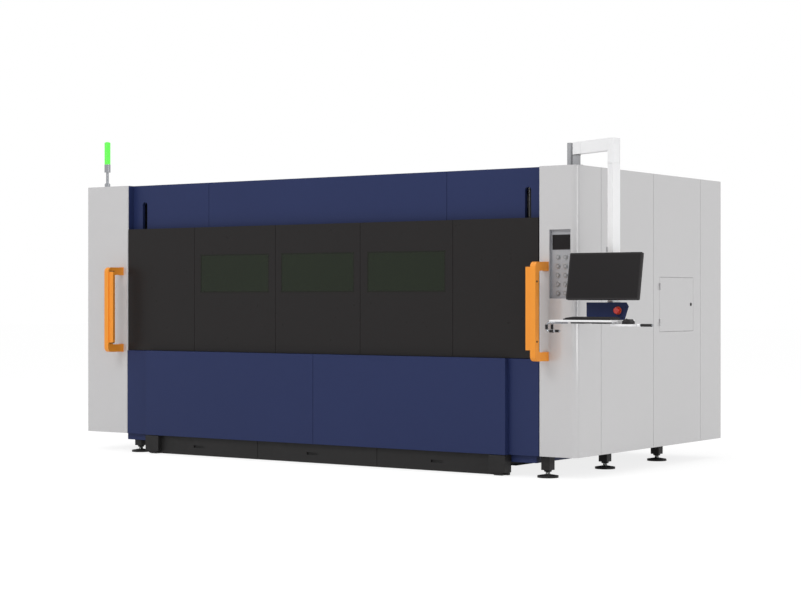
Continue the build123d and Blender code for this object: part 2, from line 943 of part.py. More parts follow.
# Door lift: a rail and a rodless cylinder on each front post, and the arms that reach through the slots
post_front = post_y - post_size / 2
rail_front = post_front - guide_rail_depth
block_front = fascia_back + lift_block_gap
lift_z = (bed_top, rail_bottom)
with BuildPart() as door_lift_guides:
    for x, toward in zip(post_x, (-1, 1)):
        prism(front_at(post_front), around(x, guide_rail_width), lift_z, guide_rail_depth)
        cylinder_x = sorted((x + toward * post_size / 2, x + toward * (post_size / 2 + cylinder_size)))
        prism(front_at(post_front), cylinder_x, lift_z, -cylinder_size)
keep("door_lift_guides", door_lift_guides)

with BuildPart() as door_lift_arms:
    for x in post_x:
        block_z = around(arm_z, lift_block_height)
        prism(front_at(block_front), around(x, post_size), block_z, -lift_block_depth)
        groove = guide_rail_width + 2 * guide_clearance
        groove_front = rail_front - guide_clearance
        prism(
            front_at(groove_front),
            around(x, groove),
            block_z,
            groove_front - block_front - lift_block_depth,
            Mode.SUBTRACT,
        )
        prism(front_at(frame_back), around(x, arm_width), around(arm_z, arm_height), frame_back - block_front)
keep("door_lift_arms", door_lift_arms)

# Light curtains on the pillars' inner edges, each behind its orange guard
guard_z = (guard_bottom, guard_bottom + guard_height)
guard_spans = (
    (opening_left - left_guard_inset - guard_width, opening_left - left_guard_inset),
    (opening_right + right_guard_inset, opening_right + right_guard_inset + guard_width),
)
with BuildPart() as light_curtain_brackets:
    for span in guard_spans:
        with BuildSketch(side_at(span[0])) as bridge:
            with Locations((-guard_depth / 2, middle(guard_z))):
                Rectangle(guard_depth, guard_height)
            fillet(bridge.vertices().group_by(Axis.X)[0], guard_corner_radius)
        extrude(bridge.sketch, amount=guard_width)
        with BuildSketch(side_at(span[0])) as gap:
            gap_depth = guard_depth - guard_bar_depth
            with Locations((-gap_depth / 2, middle(guard_z))):
                Rectangle(gap_depth, guard_height - 2 * guard_arm_height)
            fillet(gap.vertices().group_by(Axis.X)[0], guard_inner_radius)
        extrude(gap.sketch, amount=guard_width, mode=Mode.SUBTRACT)
        for z in (guard_z[0] + guard_arm_height / 2, guard_z[1] - guard_arm_height / 2):
            prism(
                front_at(0),
                (span[0] - guard_flange_margin, span[1] + guard_flange_margin),
                around(z, guard_arm_height + 2 * guard_flange_margin),
                guard_flange,
            )
keep("light_curtain_brackets", light_curtain_brackets)

curtain_z = (curtain_bottom, curtain_bottom + curtain_height)
curtain_front = curtain_setback - guard_depth
with BuildPart() as light_curtains:
    for span in (
        (guard_spans[0][1], guard_spans[0][1] + curtain_width),
        (guard_spans[1][0] - curtain_width, guard_spans[1][0]),
    ):
        prism(front_at(curtain_front), span, curtain_z, -curtain_depth)
keep("light_curtains", light_curtains)

# Signal lamp on the left pillar
lamp_axis = Axis(place(lamp_x, lamp_y, 0), (0, 0, 1))
lamp_plane = Plane(origin=place(lamp_x, lamp_y, 0), x_dir=(1, 0, 0), z_dir=(0, -1, 0))
lamp_pole_top = covers_top + lamp_pole_height
lamp_lens_bottom = lamp_pole_top + lamp_body_height
with BuildPart() as signal_lamp_body:
    with BuildSketch(lamp_plane):
        with BuildLine():
            Polyline(
                (0, covers_top),
                (lamp_base_radius, covers_top),
                (lamp_base_radius, covers_top + lamp_base_height - lamp_pole_radius),
                (lamp_pole_radius, covers_top + lamp_base_height),
                (lamp_pole_radius, lamp_pole_top),
                (lamp_body_radius, lamp_pole_top),
                (lamp_body_radius, lamp_lens_bottom),
                (0, lamp_lens_bottom),
                close=True,
            )
        make_face()
    revolve(axis=lamp_axis)
keep("signal_lamp_body", signal_lamp_body)

with BuildPart() as signal_lamp_lens:
    with BuildSketch(lamp_plane):
        with Locations((lamp_body_radius / 2, lamp_lens_bottom + lamp_lens_height / 2)):
            Rectangle(lamp_body_radius, lamp_lens_height)
    revolve(axis=lamp_axis)
    chamfer(edges().filter_by(GeomType.CIRCLE).sort_by(Axis.Z)[-1], lamp_body_radius / 5)
keep("signal_lamp_lens", signal_lamp_lens)

# Recessed control panel: pan, display and two columns of round push buttons
recess_middle = middle(recess_x)
button_places = [
    (recess_middle + (column - (button_columns - 1) / 2) * button_spacing, button_top_z - row * button_pitch)
    for row in range(button_rows)
    for column in range(button_columns)
]
with BuildPart() as control_panel:
    prism(front_at(0), recess_x, recess_z, -(recess_depth + sheet))
    prism(
        front_at(0),
        (recess_x[0] + sheet, recess_x[1] - sheet),
        (recess_z[0] + sheet, recess_z[1] - sheet),
        -recess_depth,
        Mode.SUBTRACT,
    )
    with BuildSketch(front_at(recess_depth)):
        with Locations(*button_places):
            Circle(button_radius + button_clearance + bezel_width)
    extrude(amount=bezel_height)
    with BuildSketch(front_at(recess_depth - bezel_height)):
        with Locations(*button_places):
            Circle(button_radius + button_clearance)
    extrude(amount=-(bezel_height + sheet), mode=Mode.SUBTRACT)
keep("control_panel", control_panel)

with BuildPart() as control_display:
    prism(
        front_at(recess_depth),
        around(recess_middle, display_width),
        (display_bottom, display_bottom + display_height),
        display_thickness,
    )
    chamfer(faces().sort_by(Axis.Y)[0].edges(), display_thickness / 4)
keep("control_display", control_display)


def push_button(x, z):
    """Round cap with a square collar behind the pan that keeps it from falling out, and a short tail."""
    pan_back = recess_depth + sheet
    collar = 2 * (button_radius + bezel_width)
    with BuildPart() as button:
        round_on(front_at(recess_depth - button_proud), x, z, button_radius, -(button_proud + sheet))
        prism(front_at(pan_back), around(x, collar), around(z, collar), -button_collar)
        tail_front = pan_back + button_collar
        prism(front_at(tail_front), around(x, button_radius), around(z, button_radius), -button_tail)
    return button


for number, (x, z) in enumerate(button_places, start=1):
    keep(f"push_button_{number}", push_button(x, z))

# Console boom: fixed pivot on the right pillar, arm and elbow
boom_bottom = covers_top + boom_lift
boom_top = boom_bottom + boom_height
pivot_top = boom_bottom - sheet
elbow_bottom = boom_bottom - elbow_drop
elbow_top = elbow_bottom + elbow_height

with BuildPart() as boom_pivot:
    round_on(level_at(covers_top), pivot_x, pivot_y, pivot_flange_radius, pivot_flange)
    round_on(level_at(covers_top), pivot_x, pivot_y, pivot_radius, pivot_top - covers_top)
    round_on(level_at(pivot_top), pivot_x, pivot_y, pin_radius, pin_length)
    post_right = pivot_x - pivot_post_gap
    prism(
        level_at(covers_top),
        (post_right - pivot_post_width, post_right),
        around(pivot_y, pivot_post_width),
        boom_top - covers_top,
    )
keep("boom_pivot", boom_pivot)

boom_direction = (cos(radians(boom_angle)), sin(radians(boom_angle)), 0)
elbow_x = pivot_x + boom_length * boom_direction[0]
elbow_y = pivot_y + boom_length * boom_direction[1]


def boom_plane(z):
    """Level plane on the pivot, its x along the boom."""
    return Plane(origin=place(pivot_x, pivot_y, z), x_dir=boom_direction, z_dir=(0, 0, 1))


with BuildPart() as boom_arm:
    with BuildSketch(boom_plane(pivot_top)):
        Circle(boom_head_radius)
    extrude(amount=boom_top - pivot_top)
    neck_width = 2 * boom_head_radius
    for start, end, width in (
        (0, boom_neck_length - boom_groove, neck_width),
        (boom_neck_length - boom_groove, boom_neck_length, neck_width - 2 * boom_groove),
        (boom_neck_length, boom_length, boom_width),
    ):
        with BuildSketch(boom_plane(boom_bottom)):
            with Locations((middle((start, end)), 0)):
                Rectangle(end - start, width)
        extrude(amount=boom_height)
    with BuildSketch(boom_plane(elbow_bottom)) as elbow:
        with Locations((boom_length, 0)):
            RectangleRounded(elbow_size, elbow_size, elbow_radius)
    extrude(amount=elbow_top - elbow_bottom)
    with BuildSketch(boom_plane(pivot_top)):
        Circle(pin_radius + pin_clearance)
    extrude(amount=pin_length + sheet, mode=Mode.SUBTRACT)
    with BuildSketch(boom_plane(elbow_bottom)):
        with Locations((boom_length, 0)):
            Circle(pin_radius + pin_clearance)
    extrude(amount=pin_length + sheet, mode=Mode.SUBTRACT)
keep("boom_arm", boom_arm)

# Hanging part of the console: drop tube with the tilt pin, control box, tray
box_left = elbow_x - box_left_of_tube
box_front = elbow_y - box_ahead_of_tube
box_top = box_bottom + box_height
tilt_y = elbow_y - tilt_forward
ear_outside = tilt_arm_width / 2 + ear_gap + ear_thickness
with BuildPart() as drop_tube:
    with BuildSketch(boom_plane(box_top)):
        with Locations((boom_length, 0)):
            Rectangle(drop_tube_size, drop_tube_size)
    extrude(amount=elbow_bottom - box_top)
    with BuildSketch(boom_plane(elbow_bottom)):
        with Locations((boom_length, 0)):
            Circle(pin_radius)
    extrude(amount=pin_length)
    with BuildSketch(side_at(elbow_x - tilt_arm_width / 2)):
        arm_y = (tilt_y, elbow_y)
        with Locations((middle(arm_y), tilt_z)):
            Rectangle(extent(arm_y), tilt_arm_height)
        with Locations((tilt_y, tilt_z)):
            Circle(tilt_arm_height / 2)
    extrude(amount=tilt_arm_width)
    with BuildSketch(boom_plane(box_top)):
        with Locations((boom_length, 0)):
            Rectangle(drop_tube_size - 2 * drop_tube_wall, drop_tube_size - 2 * drop_tube_wall)
    extrude(amount=elbow_bottom - box_top - 2 * drop_tube_wall, mode=Mode.SUBTRACT)
    round_on(side_at(elbow_x - ear_outside), tilt_y, tilt_z, tilt_pin_radius, 2 * ear_outside)
keep("drop_tube", drop_tube)

tilt_plane = Plane(
    origin=place(elbow_x, tilt_y, tilt_z),
    x_dir=(1, 0, 0),
    z_dir=(0, -cos(radians(tilt_angle)), sin(radians(tilt_angle))),
)
screen_width = monitor_width - 2 * monitor_bezel
screen_height = monitor_height - 2 * monitor_bezel
monitor_front = monitor_offset + monitor_thickness
with BuildPart() as monitor:
    with BuildSketch(tilt_plane.offset(monitor_offset)):
        RectangleRounded(monitor_width, monitor_height, monitor_radius)
    extrude(amount=monitor_thickness)
    with BuildSketch(tilt_plane.offset(monitor_offset)):
        RectangleRounded(monitor_back_width, monitor_back_height, monitor_radius)
    extrude(amount=-monitor_back_depth, taper=30)
    with BuildSketch(tilt_plane.offset(monitor_front)):
        Rectangle(screen_width, screen_height)
    extrude(amount=-screen_depth, mode=Mode.SUBTRACT)
    for toward in (-1, 1):
        inner_face = toward * (tilt_arm_width / 2 + ear_gap)
        ear_plane = Plane(
            origin=place(elbow_x + inner_face, tilt_y, tilt_z), x_dir=tilt_plane.y_dir, z_dir=(toward, 0, 0)
        )
        with BuildSketch(ear_plane):
            Circle(ear_radius)
            with Locations((0, toward * monitor_offset / 2)):
                Rectangle(2 * ear_radius, monitor_offset)
            Circle(tilt_pin_radius + pin_clearance, mode=Mode.SUBTRACT)
        extrude(amount=ear_thickness)
keep("monitor", monitor)

with BuildPart() as monitor_screen:
    with BuildSketch(tilt_plane.offset(monitor_front - screen_depth)):
        Rectangle(screen_width, screen_height)
    extrude(amount=screen_depth - screen_recess)
keep("monitor_screen", monitor_screen)

stop_x = box_left + stop_from_left
stop_z = box_bottom + stop_above_tray


def box_outline(y, inset):
    """The box seen from the front at depth y, narrower by `inset` at each side."""
    box_right = box_left + box_top_width - inset
    with BuildSketch(front_at(y)) as outline:
        with BuildLine():
            Polyline(
                (box_left + inset, box_bottom),
                (box_right - box_taper, box_bottom),
                (box_right, box_top - box_corner),
                (box_right - box_corner * 2 / 3, box_top),
                (box_left + inset, box_top),
                close=True,
            )
        make_face()
    return outline.sketch


with BuildPart() as control_box:
    ends = [box_outline(box_front, 0).face(), box_outline(box_front + box_depth, box_back_inset).face()]
    loft(ends, ruled=True)
    round_on(front_at(box_front), stop_x, stop_z, stop_collar_radius, stop_collar_height)
    stop_bore = stop_neck_radius + stop_clearance
    round_on(
        front_at(box_front - stop_collar_height),
        stop_x,
        stop_z,
        stop_bore,
        -(stop_collar_height + stop_tail + stop_neck),
        Mode.SUBTRACT,
    )
keep("control_box", control_box)

with BuildPart() as emergency_stop:
    stop_face = box_front - stop_collar_height
    round_on(front_at(stop_face), stop_x, stop_z, stop_neck_radius, stop_neck)
    round_on(front_at(stop_face), stop_x, stop_z, stop_neck_radius, -stop_tail)
    round_on(front_at(stop_face - stop_neck), stop_x, stop_z, stop_radius, stop_head)
    rim = emergency_stop.edges().filter_by(GeomType.CIRCLE).sort_by(Axis.Y)[0]
    chamfer(rim, stop_head / 4)
keep("emergency_stop", emergency_stop)

tray_bottom_z = box_bottom - tray_thickness
shelf_top = box_bottom - mouse_shelf_drop
tray_x = (box_left - tray_left_of_box, box_left - tray_left_of_box + tray_width)
tray_y = (box_front - tray_ahead_of_box, box_front + box_depth - tray_back_inset)
shelf_left = tray_x[0] + mouse_shelf_from_left
shelf_front = tray_y[0] + mouse_shelf_setback
shelf_x = (shelf_left, shelf_left + mouse_shelf_width)
shelf_y = (shelf_front, shelf_front + mouse_shelf_depth)
with BuildPart() as keyboard_tray:
    with BuildSketch(side_at(tray_x[0])) as tray_profile:
        with Locations((middle(tray_y), box_bottom - tray_thickness / 2)):
            Rectangle(extent(tray_y), tray_thickness)
        fillet(tray_profile.vertices().group_by(Axis.X)[0], tray_edge_radius)
    extrude(amount=tray_width)
    with BuildSketch(level_at(shelf_top)) as shelf:
        with Locations((middle(shelf_x), middle(shelf_y))):
            RectangleRounded(mouse_shelf_width, mouse_shelf_depth, mouse_width / 2)
    extrude(amount=-mouse_shelf_thickness)
    hanger_y = around(middle(shelf_y), handle_spread)
    prism(level_at(shelf_top), (shelf_x[0], tray_x[1]), hanger_y, tray_bottom_z - shelf_top)
keep("keyboard_tray", keyboard_tray)

keyboard_x = (tray_x[0] + keyboard_from_left, tray_x[0] + keyboard_from_left + keyboard_width)
keyboard_y = (tray_y[0] + keyboard_setback, tray_y[0] + keyboard_setback + keyboard_depth)
with BuildPart() as keyboard:
    with BuildSketch(side_at(keyboard_x[0])):
        with BuildLine():
            Polyline(
                (keyboard_y[0], box_bottom),
                (keyboard_y[1], box_bottom),
                (keyboard_y[1], box_bottom + keyboard_height),
                (keyboard_y[0], box_bottom + keyboard_height / 2),
                close=True,
            )
        make_face()
    extrude(amount=keyboard_width)
    for row_y in split_span(keyboard_y[0] + 8, keyboard_y[1] - 8, key_rows, seam):
        rise = keyboard_height / 2 * (1 + (middle(row_y) - keyboard_y[0]) / keyboard_depth)
        prism(
            level_at(box_bottom + rise - key_height / 2),
            (keyboard_x[0] + 8, keyboard_x[1] - 8),
            row_y,
            key_height,
        )
keep("keyboard", keyboard)

with BuildPart() as mouse:
    for bottom, taper in ((shelf_top, 0), (shelf_top + mouse_height / 2, 40)):
        with BuildSketch(level_at(bottom)) as outline:
            with Locations((shelf_x[1] - mouse_width, middle(shelf_y))):
                RectangleRounded(mouse_width, mouse_length, mouse_width * 0.45)
        extrude(outline.sketch, amount=mouse_height / 2, taper=taper)
keep("mouse", mouse)

# Two hooks under the tray's left end, and the rod at the mouse shelf
with BuildPart() as tray_handles:
    handle_z = tray_bottom_z - handle_radius
    handle_x = tray_x[0] - handle_reach
    inward = tray_x[0] + handle_drop
    for y in around(tray_y[0] + handle_setback, handle_spread):
        with BuildLine() as handle_path:
            FilletPolyline(
                place(inward, y, handle_z),
                place(handle_x, y, handle_z),
                place(handle_x, y, handle_z - handle_drop),
                place(handle_x + handle_tail, y, handle_z - handle_drop),
                radius=handle_bend,
            )
        with BuildSketch(Plane(origin=handle_path.line @ 0, z_dir=handle_path.line % 0)) as section:
            Circle(handle_radius)
        sweep(section.sketch, path=handle_path.line)
    rod_y = tray_y[0] + rod_setback
    rod_z = shelf_top - mouse_shelf_thickness / 2
    round_on(side_at(shelf_x[1]), rod_y, rod_z, mouse_shelf_thickness / 2, rod_length)
keep("tray_handles", tray_handles)

# Cutting table: tube frame on the bed's ledges, slotted combs, toothed slats
ledge_inner = (front_beam[1], rear_beam[0])
table_x = (table_left, table_right)
frame_z = (ledge_top, ledge_top + table_tube_height)
comb_bottom = frame_z[1]
slat_x = [
    middle((opening_middle - sheet_length / 2, opening_middle + sheet_length / 2))
    + (i - (slat_count - 1) / 2) * slat_pitch
    for i in range(slat_count)
]
comb_y = (ledge_inner[0] + table_tube_width / 2, ledge_inner[1] - table_tube_width / 2)
with BuildPart() as table_frame:
    long_y = (
        (ledge_inner[0] + sheet, ledge_inner[0] + sheet + table_tube_width),
        (ledge_inner[1] - sheet - table_tube_width, ledge_inner[1] - sheet),
    )
    for span in long_y:
        tube(side_at(table_x[0]), span, frame_z, extent(table_x), tube_wall)
    for x in (table_x[0] + table_tube_width / 2, table_x[1] - table_tube_width / 2):
        tube(
            front_at(long_y[1][0]),
            around(x, table_tube_width),
            frame_z,
            long_y[1][0] - long_y[0][1],
            tube_wall,
        )
    for y in comb_y:
        prism(
            front_at(y + comb_thickness / 2),
            table_x,
            (comb_bottom, comb_bottom + comb_height),
            comb_thickness,
        )
        with BuildSketch(front_at(y + comb_thickness / 2)):
            notch_z = (slat_bottom, comb_bottom + comb_height)
            with Locations(*[(x, middle(notch_z)) for x in slat_x]):
                Rectangle(slat_thickness + slat_clearance, extent(notch_z))
        extrude(amount=comb_thickness, mode=Mode.SUBTRACT)
keep("table_frame", table_frame)

slat_y = (comb_y[0] - comb_thickness, comb_y[1] + comb_thickness)
tooth = extent(slat_y) / slat_teeth
slat_top = slat_bottom + slat_height
crest = []
for number in range(slat_teeth):
    crest.append((slat_y[0] + number * tooth, slat_top - slat_tooth_depth))
    crest.append((slat_y[0] + (number + 0.5) * tooth, slat_top))
crest.append((slat_y[1], slat_top - slat_tooth_depth))
with BuildPart() as table_slats:
    for x in slat_x:
        with BuildSketch(side_at(x - slat_thickness / 2)):
            with BuildLine():
                Polyline((slat_y[1], slat_bottom), (slat_y[0], slat_bottom), *crest, close=True)
            make_face()
        extrude(amount=slat_thickness)
keep("table_slats", table_slats)

# Rails and racks of the long axis
with BuildPart() as x_rails:
    for y, toward in ((front_rail_y, -1), (rear_rail_y, 1)):
        rail_z = (bed_top, bed_top + rail_rise)
        prism(side_at(rail_ends[0]), around(y, rail_width), rail_z, extent(rail_ends))
        rack_y = y + toward * (bearing_width / 2 + rack_width)
        rack_z = (bed_top, bed_top + rack_height)
        prism(side_at(rail_ends[0]), around(rack_y, rack_width), rack_z, extent(rail_ends))
keep("x_rails", x_rails)

# Gantry: chamfered box beam on two saddles with their drives, parked at the left end
gantry_x = opening_middle - sheet_length / 2 - head_offset
beam_top = beam_bottom + beam_height
beam_y = (front_rail_y - saddle_width / 2, rear_rail_y + saddle_width / 2)
beam_face = gantry_x + beam_width / 2
with BuildPart() as gantry:
    with BuildSketch(front_at(beam_y[1])) as beam_profile:
        with Locations((gantry_x, middle((beam_bottom, beam_top)))):
            Rectangle(beam_width, beam_height)
        chamfer(beam_profile.vertices().group_by(Axis.Y)[-1], beam_chamfer)
        offset(amount=-beam_wall, mode=Mode.SUBTRACT)
    extrude(beam_profile.sketch, amount=extent(beam_y))
    for z in cross_rails_z:
        prism(
            side_at(beam_face),
            (beam_y[0] + cross_rail_inset, beam_y[1] - cross_rail_inset),
            around(z, cross_rail_size),
            cross_rail_size,
        )
    for y in (front_rail_y, rear_rail_y):
        with BuildSketch(front_at(y + saddle_width / 2)) as saddle:
            with BuildLine():
                Polyline(
                    (gantry_x - saddle_length / 2, saddle_bottom),
                    (gantry_x + saddle_length / 2, saddle_bottom),
                    (gantry_x + saddle_length / 2, saddle_bottom + saddle_width / 2),
                    (gantry_x + beam_width / 2, beam_bottom),
                    (gantry_x - beam_width / 2, beam_bottom),
                    (gantry_x - saddle_length / 2, saddle_bottom + saddle_width / 2),
                    close=True,
                )
            make_face()
        extrude(amount=saddle_width)
        for toward in (-1, 1):
            block_x = around(gantry_x + toward * (saddle_length - bearing_length) / 2, bearing_length)
            prism(
                side_at(block_x[0]),
                around(y, bearing_width),
                (bed_top + bearing_lift, saddle_bottom),
                bearing_length,
            )
        prism(
            side_at(gantry_x - saddle_length / 2),
            around(y, rail_width + 2 * bearing_clearance),
            (bed_top + bearing_lift, bed_top + rail_rise + bearing_clearance),
            saddle_length,
            Mode.SUBTRACT,
        )
        drive_x = (gantry_x - saddle_length / 2 - drive_size, gantry_x - saddle_length / 2)
        prism(level_at(saddle_bottom), drive_x, around(y, drive_size), drive_size)
        round_on(
            level_at(saddle_bottom + drive_size),
            middle(drive_x),
            y,
            drive_motor_radius,
            drive_height - drive_size,
        )
keep("gantry", gantry)

# Carriage on the gantry's cross rails, and the cutting head on its upright slide
head_x = gantry_x + head_offset
plate_front = beam_face + cross_rail_size + bearing_clearance
plate_back = plate_front + carriage_thickness
carriage_z = around(middle(cross_rails_z), carriage_height)
with BuildPart() as carriage:
    prism(side_at(plate_front), around(sheet_front, carriage_width), carriage_z, carriage_thickness)
    for toward in (-1, 1):
        block_y = around(
            sheet_front + toward * (carriage_width - carriage_bearing_length) / 2, carriage_bearing_length
        )
        for z in cross_rails_z:
            prism(
                side_at(plate_front),
                block_y,
                around(z, 2 * cross_rail_size),
                bearing_lift - cross_rail_size,
            )
    for z in cross_rails_z:
        prism(
            side_at(beam_face),
            around(sheet_front, carriage_width),
            around(z, cross_rail_size + 2 * bearing_clearance),
            cross_rail_size + bearing_clearance,
            Mode.SUBTRACT,
        )
keep("carriage", carriage)

head_axis = Axis(place(head_x, sheet_front, 0), (0, 0, 1))
head_plane = Plane(origin=place(head_x, sheet_front, 0), x_dir=(1, 0, 0), z_dir=(0, -1, 0))
head_radius = head_depth / 2
nozzle_length = head_bottom - nozzle_tip_z
head_top = head_bottom + head_height
with BuildPart() as cutting_head:
    slide_z = (head_bottom - slide_width / 2, head_bottom - slide_width / 2 + slide_height)
    prism(side_at(plate_back), around(sheet_front, slide_width), slide_z, slide_thickness)
    prism(
        side_at(plate_back),
        around(sheet_front, head_width),
        (head_bottom, head_top),
        head_x + head_radius - plate_back,
    )
    with BuildSketch(head_plane):
        with BuildLine():
            Polyline(
                (0, nozzle_tip_z),
                (head_radius / 10, nozzle_tip_z),
                (head_radius / 3, nozzle_tip_z + nozzle_length / 6),
                (head_radius / 2, nozzle_tip_z + nozzle_length / 2),
                (head_radius, nozzle_tip_z + nozzle_length * 2 / 3),
                (head_radius, head_bottom),
                (0, head_bottom),
                close=True,
            )
        make_face()
    revolve(axis=head_axis)
    round_on(level_at(head_top), head_x, sheet_front, collimator_radius, collimator_height)
keep("cutting_head", cutting_head)

# Laser source on feet on the bed's right end, behind the hatch
source_x = (source_left, source_left + source_width)
source_y = (source_front, source_front + source_depth)
source_z = (bed_top + source_foot, bed_top + source_height)
with BuildPart() as laser_source:
    with BuildSketch(level_at(source_z[0])):
        with Locations((middle(source_x), middle(source_y))):
            RectangleRounded(source_width, source_depth, source_radius)
    extrude(amount=extent(source_z))
    for y in (source_y[0] + source_foot * 2, source_y[1] - source_foot * 2):
        foot_x = (source_x[0] + source_foot, bed_right - source_foot)
        prism(level_at(bed_top), foot_x, around(y, source_foot), source_foot)
    for row in range(source_vents):
        vent_z = around(source_z[1] - source_foot * (2 + row), louvre_height)
        vent_y = around(middle(source_y), louvre_width)
        prism(side_at(source_x[1]), vent_y, vent_z, -louvre_height, Mode.SUBTRACT)
keep("laser_source", laser_source)
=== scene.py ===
"""Looks of an enclosed laser cutting machine with a lifting door, slag drawers and a swinging console.

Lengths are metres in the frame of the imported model: x to the right, y to the rear, z up from the floor.
"""

import bmesh
import bpy
import numpy as np
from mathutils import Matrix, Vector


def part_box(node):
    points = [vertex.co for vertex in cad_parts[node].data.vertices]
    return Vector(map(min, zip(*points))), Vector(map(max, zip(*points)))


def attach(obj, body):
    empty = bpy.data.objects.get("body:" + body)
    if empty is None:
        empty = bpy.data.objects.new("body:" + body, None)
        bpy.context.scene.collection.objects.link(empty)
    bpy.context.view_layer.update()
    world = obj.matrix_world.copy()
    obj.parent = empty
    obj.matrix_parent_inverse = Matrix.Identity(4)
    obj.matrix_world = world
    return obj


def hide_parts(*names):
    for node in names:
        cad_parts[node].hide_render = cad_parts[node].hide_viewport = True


bl_info = {
    "name": "Laser cutting machine",
    "version": (1, 0, 0),
    "blender": (4, 5, 0),
    "location": "View3D > Sidebar > Machine",
    "description": "Finishes, fittings and studio for an enclosed laser cutting machine",
    "category": "Object",
}

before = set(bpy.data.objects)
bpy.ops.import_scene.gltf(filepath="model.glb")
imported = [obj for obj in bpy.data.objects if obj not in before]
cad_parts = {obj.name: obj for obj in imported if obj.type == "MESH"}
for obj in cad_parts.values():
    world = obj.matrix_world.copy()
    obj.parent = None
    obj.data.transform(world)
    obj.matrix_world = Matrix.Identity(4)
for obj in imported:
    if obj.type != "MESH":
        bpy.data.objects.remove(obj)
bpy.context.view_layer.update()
MM = 0.001
RIGHT = np.array((1.0, 0.0, 0.0))
REAR = np.array((0.0, 1.0, 0.0))
UP = np.array((0.0, 0.0, 1.0))
PIVOT = (0.187, 0.071)  # axis on which the boom swings
TILT_PIN = (-0.1919, 1.374)  # y and z of the pin on which the monitor tilts
SMALL_SCREW = 0.0045  # radius of the heads of M5 screws
DRIFT = 1.6  # patches of drifting colour in a metre
RUB = 22.0  # rubbed patches in a metre
made = {}  # finishes by name


# Colours and nodes


def paint(code):
    """Linear colour from an sRGB hex value."""
    parts = [int(code[i : i + 2], 16) / 255 for i in (1, 3, 5)]
    return [c / 12.92 if c <= 0.04045 else ((c + 0.055) / 1.055) ** 2.4 for c in parts] + [1.0]


def node(tree, kind, links=None, **settings):
    """Add one node, set its properties, and set or link its inputs by name or number."""
    added = tree.nodes.new(kind)
    for key, value in settings.items():
        setattr(added, key, value)
    for key, value in (links or {}).items():
        if isinstance(value, bpy.types.NodeSocket):
            tree.links.new(value, added.inputs[key])
        else:
            added.inputs[key].default_value = value
    return added


def surface(name, colour, roughness, metallic=0.0, coat=0.0, grain=1.2, depth=0.02, tone=0.04, edge=1.2,
            stretch=(1.0, 1.0, 1.0), spread=0.05, **sockets):
    """A finish whose colour drifts slowly, whose roughness varies, and whose grain is a real size in mm.

    grain is the spacing of the surface's bumps in mm, depth their height in mm, edge the rounding that
    the edges show in mm, tone the share by which the colour drifts, spread how far the roughness goes
    either way, stretch the share of the grain's count along each axis.
    """
    material = bpy.data.materials.new(name)
    material.use_nodes = True
    tree = material.node_tree
    tree.nodes.clear()
    where = node(tree, "ShaderNodeTexCoord").outputs["Object"]
    laid = node(tree, "ShaderNodeMapping", {"Vector": where, "Scale": stretch}).outputs[0]
    fine = node(tree, "ShaderNodeTexNoise", {"Vector": laid, "Scale": 1 / (grain * MM), "Detail": 3.0})
    broad = node(tree, "ShaderNodeTexNoise", {
        "Vector": laid, "Scale": DRIFT, "Detail": 4.0, "Roughness": 0.6})
    rub = node(tree, "ShaderNodeTexNoise", {
        "Vector": laid, "Scale": RUB, "Detail": 5.0, "Roughness": 0.65})
    rounded = node(tree, "ShaderNodeBevel", {"Radius": edge * MM}, samples=4)
    bump = node(tree, "ShaderNodeBump", {
        "Height": fine.outputs[0], "Distance": depth * MM, "Strength": 1.0, "Normal": rounded.outputs[0]})
    base = paint(colour)
    low = [c * (1 - tone) for c in base[:3]] + [1]
    high = [min(c * (1 + tone), 1) for c in base[:3]] + [1]
    mixed = node(tree, "ShaderNodeMix", {0: broad.outputs[0], 6: low, 7: high}, data_type="RGBA")
    dull = node(tree, "ShaderNodeMapRange", {
        "Value": rub.outputs[0], "From Min": 0.3, "From Max": 0.7,
        "To Min": max(roughness - spread, 0.02), "To Max": roughness + spread})
    shader = node(tree, "ShaderNodeBsdfPrincipled", {
        "Base Color": mixed.outputs[2], "Metallic": metallic, "Roughness": dull.outputs[0],
        "Coat Weight": coat, "Coat Roughness": 0.08, "Normal": bump.outputs[0], **sockets})
    node(tree, "ShaderNodeOutputMaterial", {"Surface": shader.outputs[0]})
    made[name] = material
    return material


# Finishes


def navy_powder_coat(looks):
    """Epoxy powder sprayed on sheet and baked: satin, with a fine orange peel."""
    return surface("navy_powder_coat", looks.navy, 0.42, grain=1.6, depth=0.02, tone=0.05,
                   **{"Specular IOR Level": 0.16})


def grey_powder_coat(looks):
    """The same coating in light grey: a soft sheen that brightens along the bent corners."""
    return surface("grey_powder_coat", looks.grey, 0.36, grain=3.0, depth=0.004, tone=0.012, coat=1.0,
                   **{"Specular IOR Level": 0.2, "Coat IOR": 1.75, "Coat Roughness": 0.12})


def matt_grey_coat(looks):
    """The light grey coating on roof and rear, with a flatter, matt surface."""
    return surface("matt_grey_coat", looks.grey, 0.55, grain=3.0, depth=0.004, tone=0.012,
                   **{"Specular IOR Level": 0.25})


def recess_grey_painted_shade(looks):
    """The grey coating of the control panel's recessed pan, painted darker than the covers as painted shade
    for the recess.
    """
    return surface("recess_grey_painted_shade", looks.recess_painted_shade, 0.45, grain=1.4, depth=0.02, tone=0.03)


def orange_powder_coat(looks):
    """Orange coating on the guards: satin, with thinner paint along the edges."""
    return surface("orange_powder_coat", looks.orange, 0.4, grain=1.6, depth=0.02, tone=0.05,
                   **{"Specular IOR Level": 0.3})


def white_enamel(looks):
    """White baked enamel of the console's boom: smooth and fairly bright."""
    return surface("white_enamel", looks.white, 0.32, grain=2.2, depth=0.012, tone=0.012, coat=0.2)


def grey_enamel(looks):
    """Mid grey enamel of the boom's pivot and post."""
    return surface("grey_enamel", looks.pivot, 0.4, grain=2.0, depth=0.015, tone=0.03)


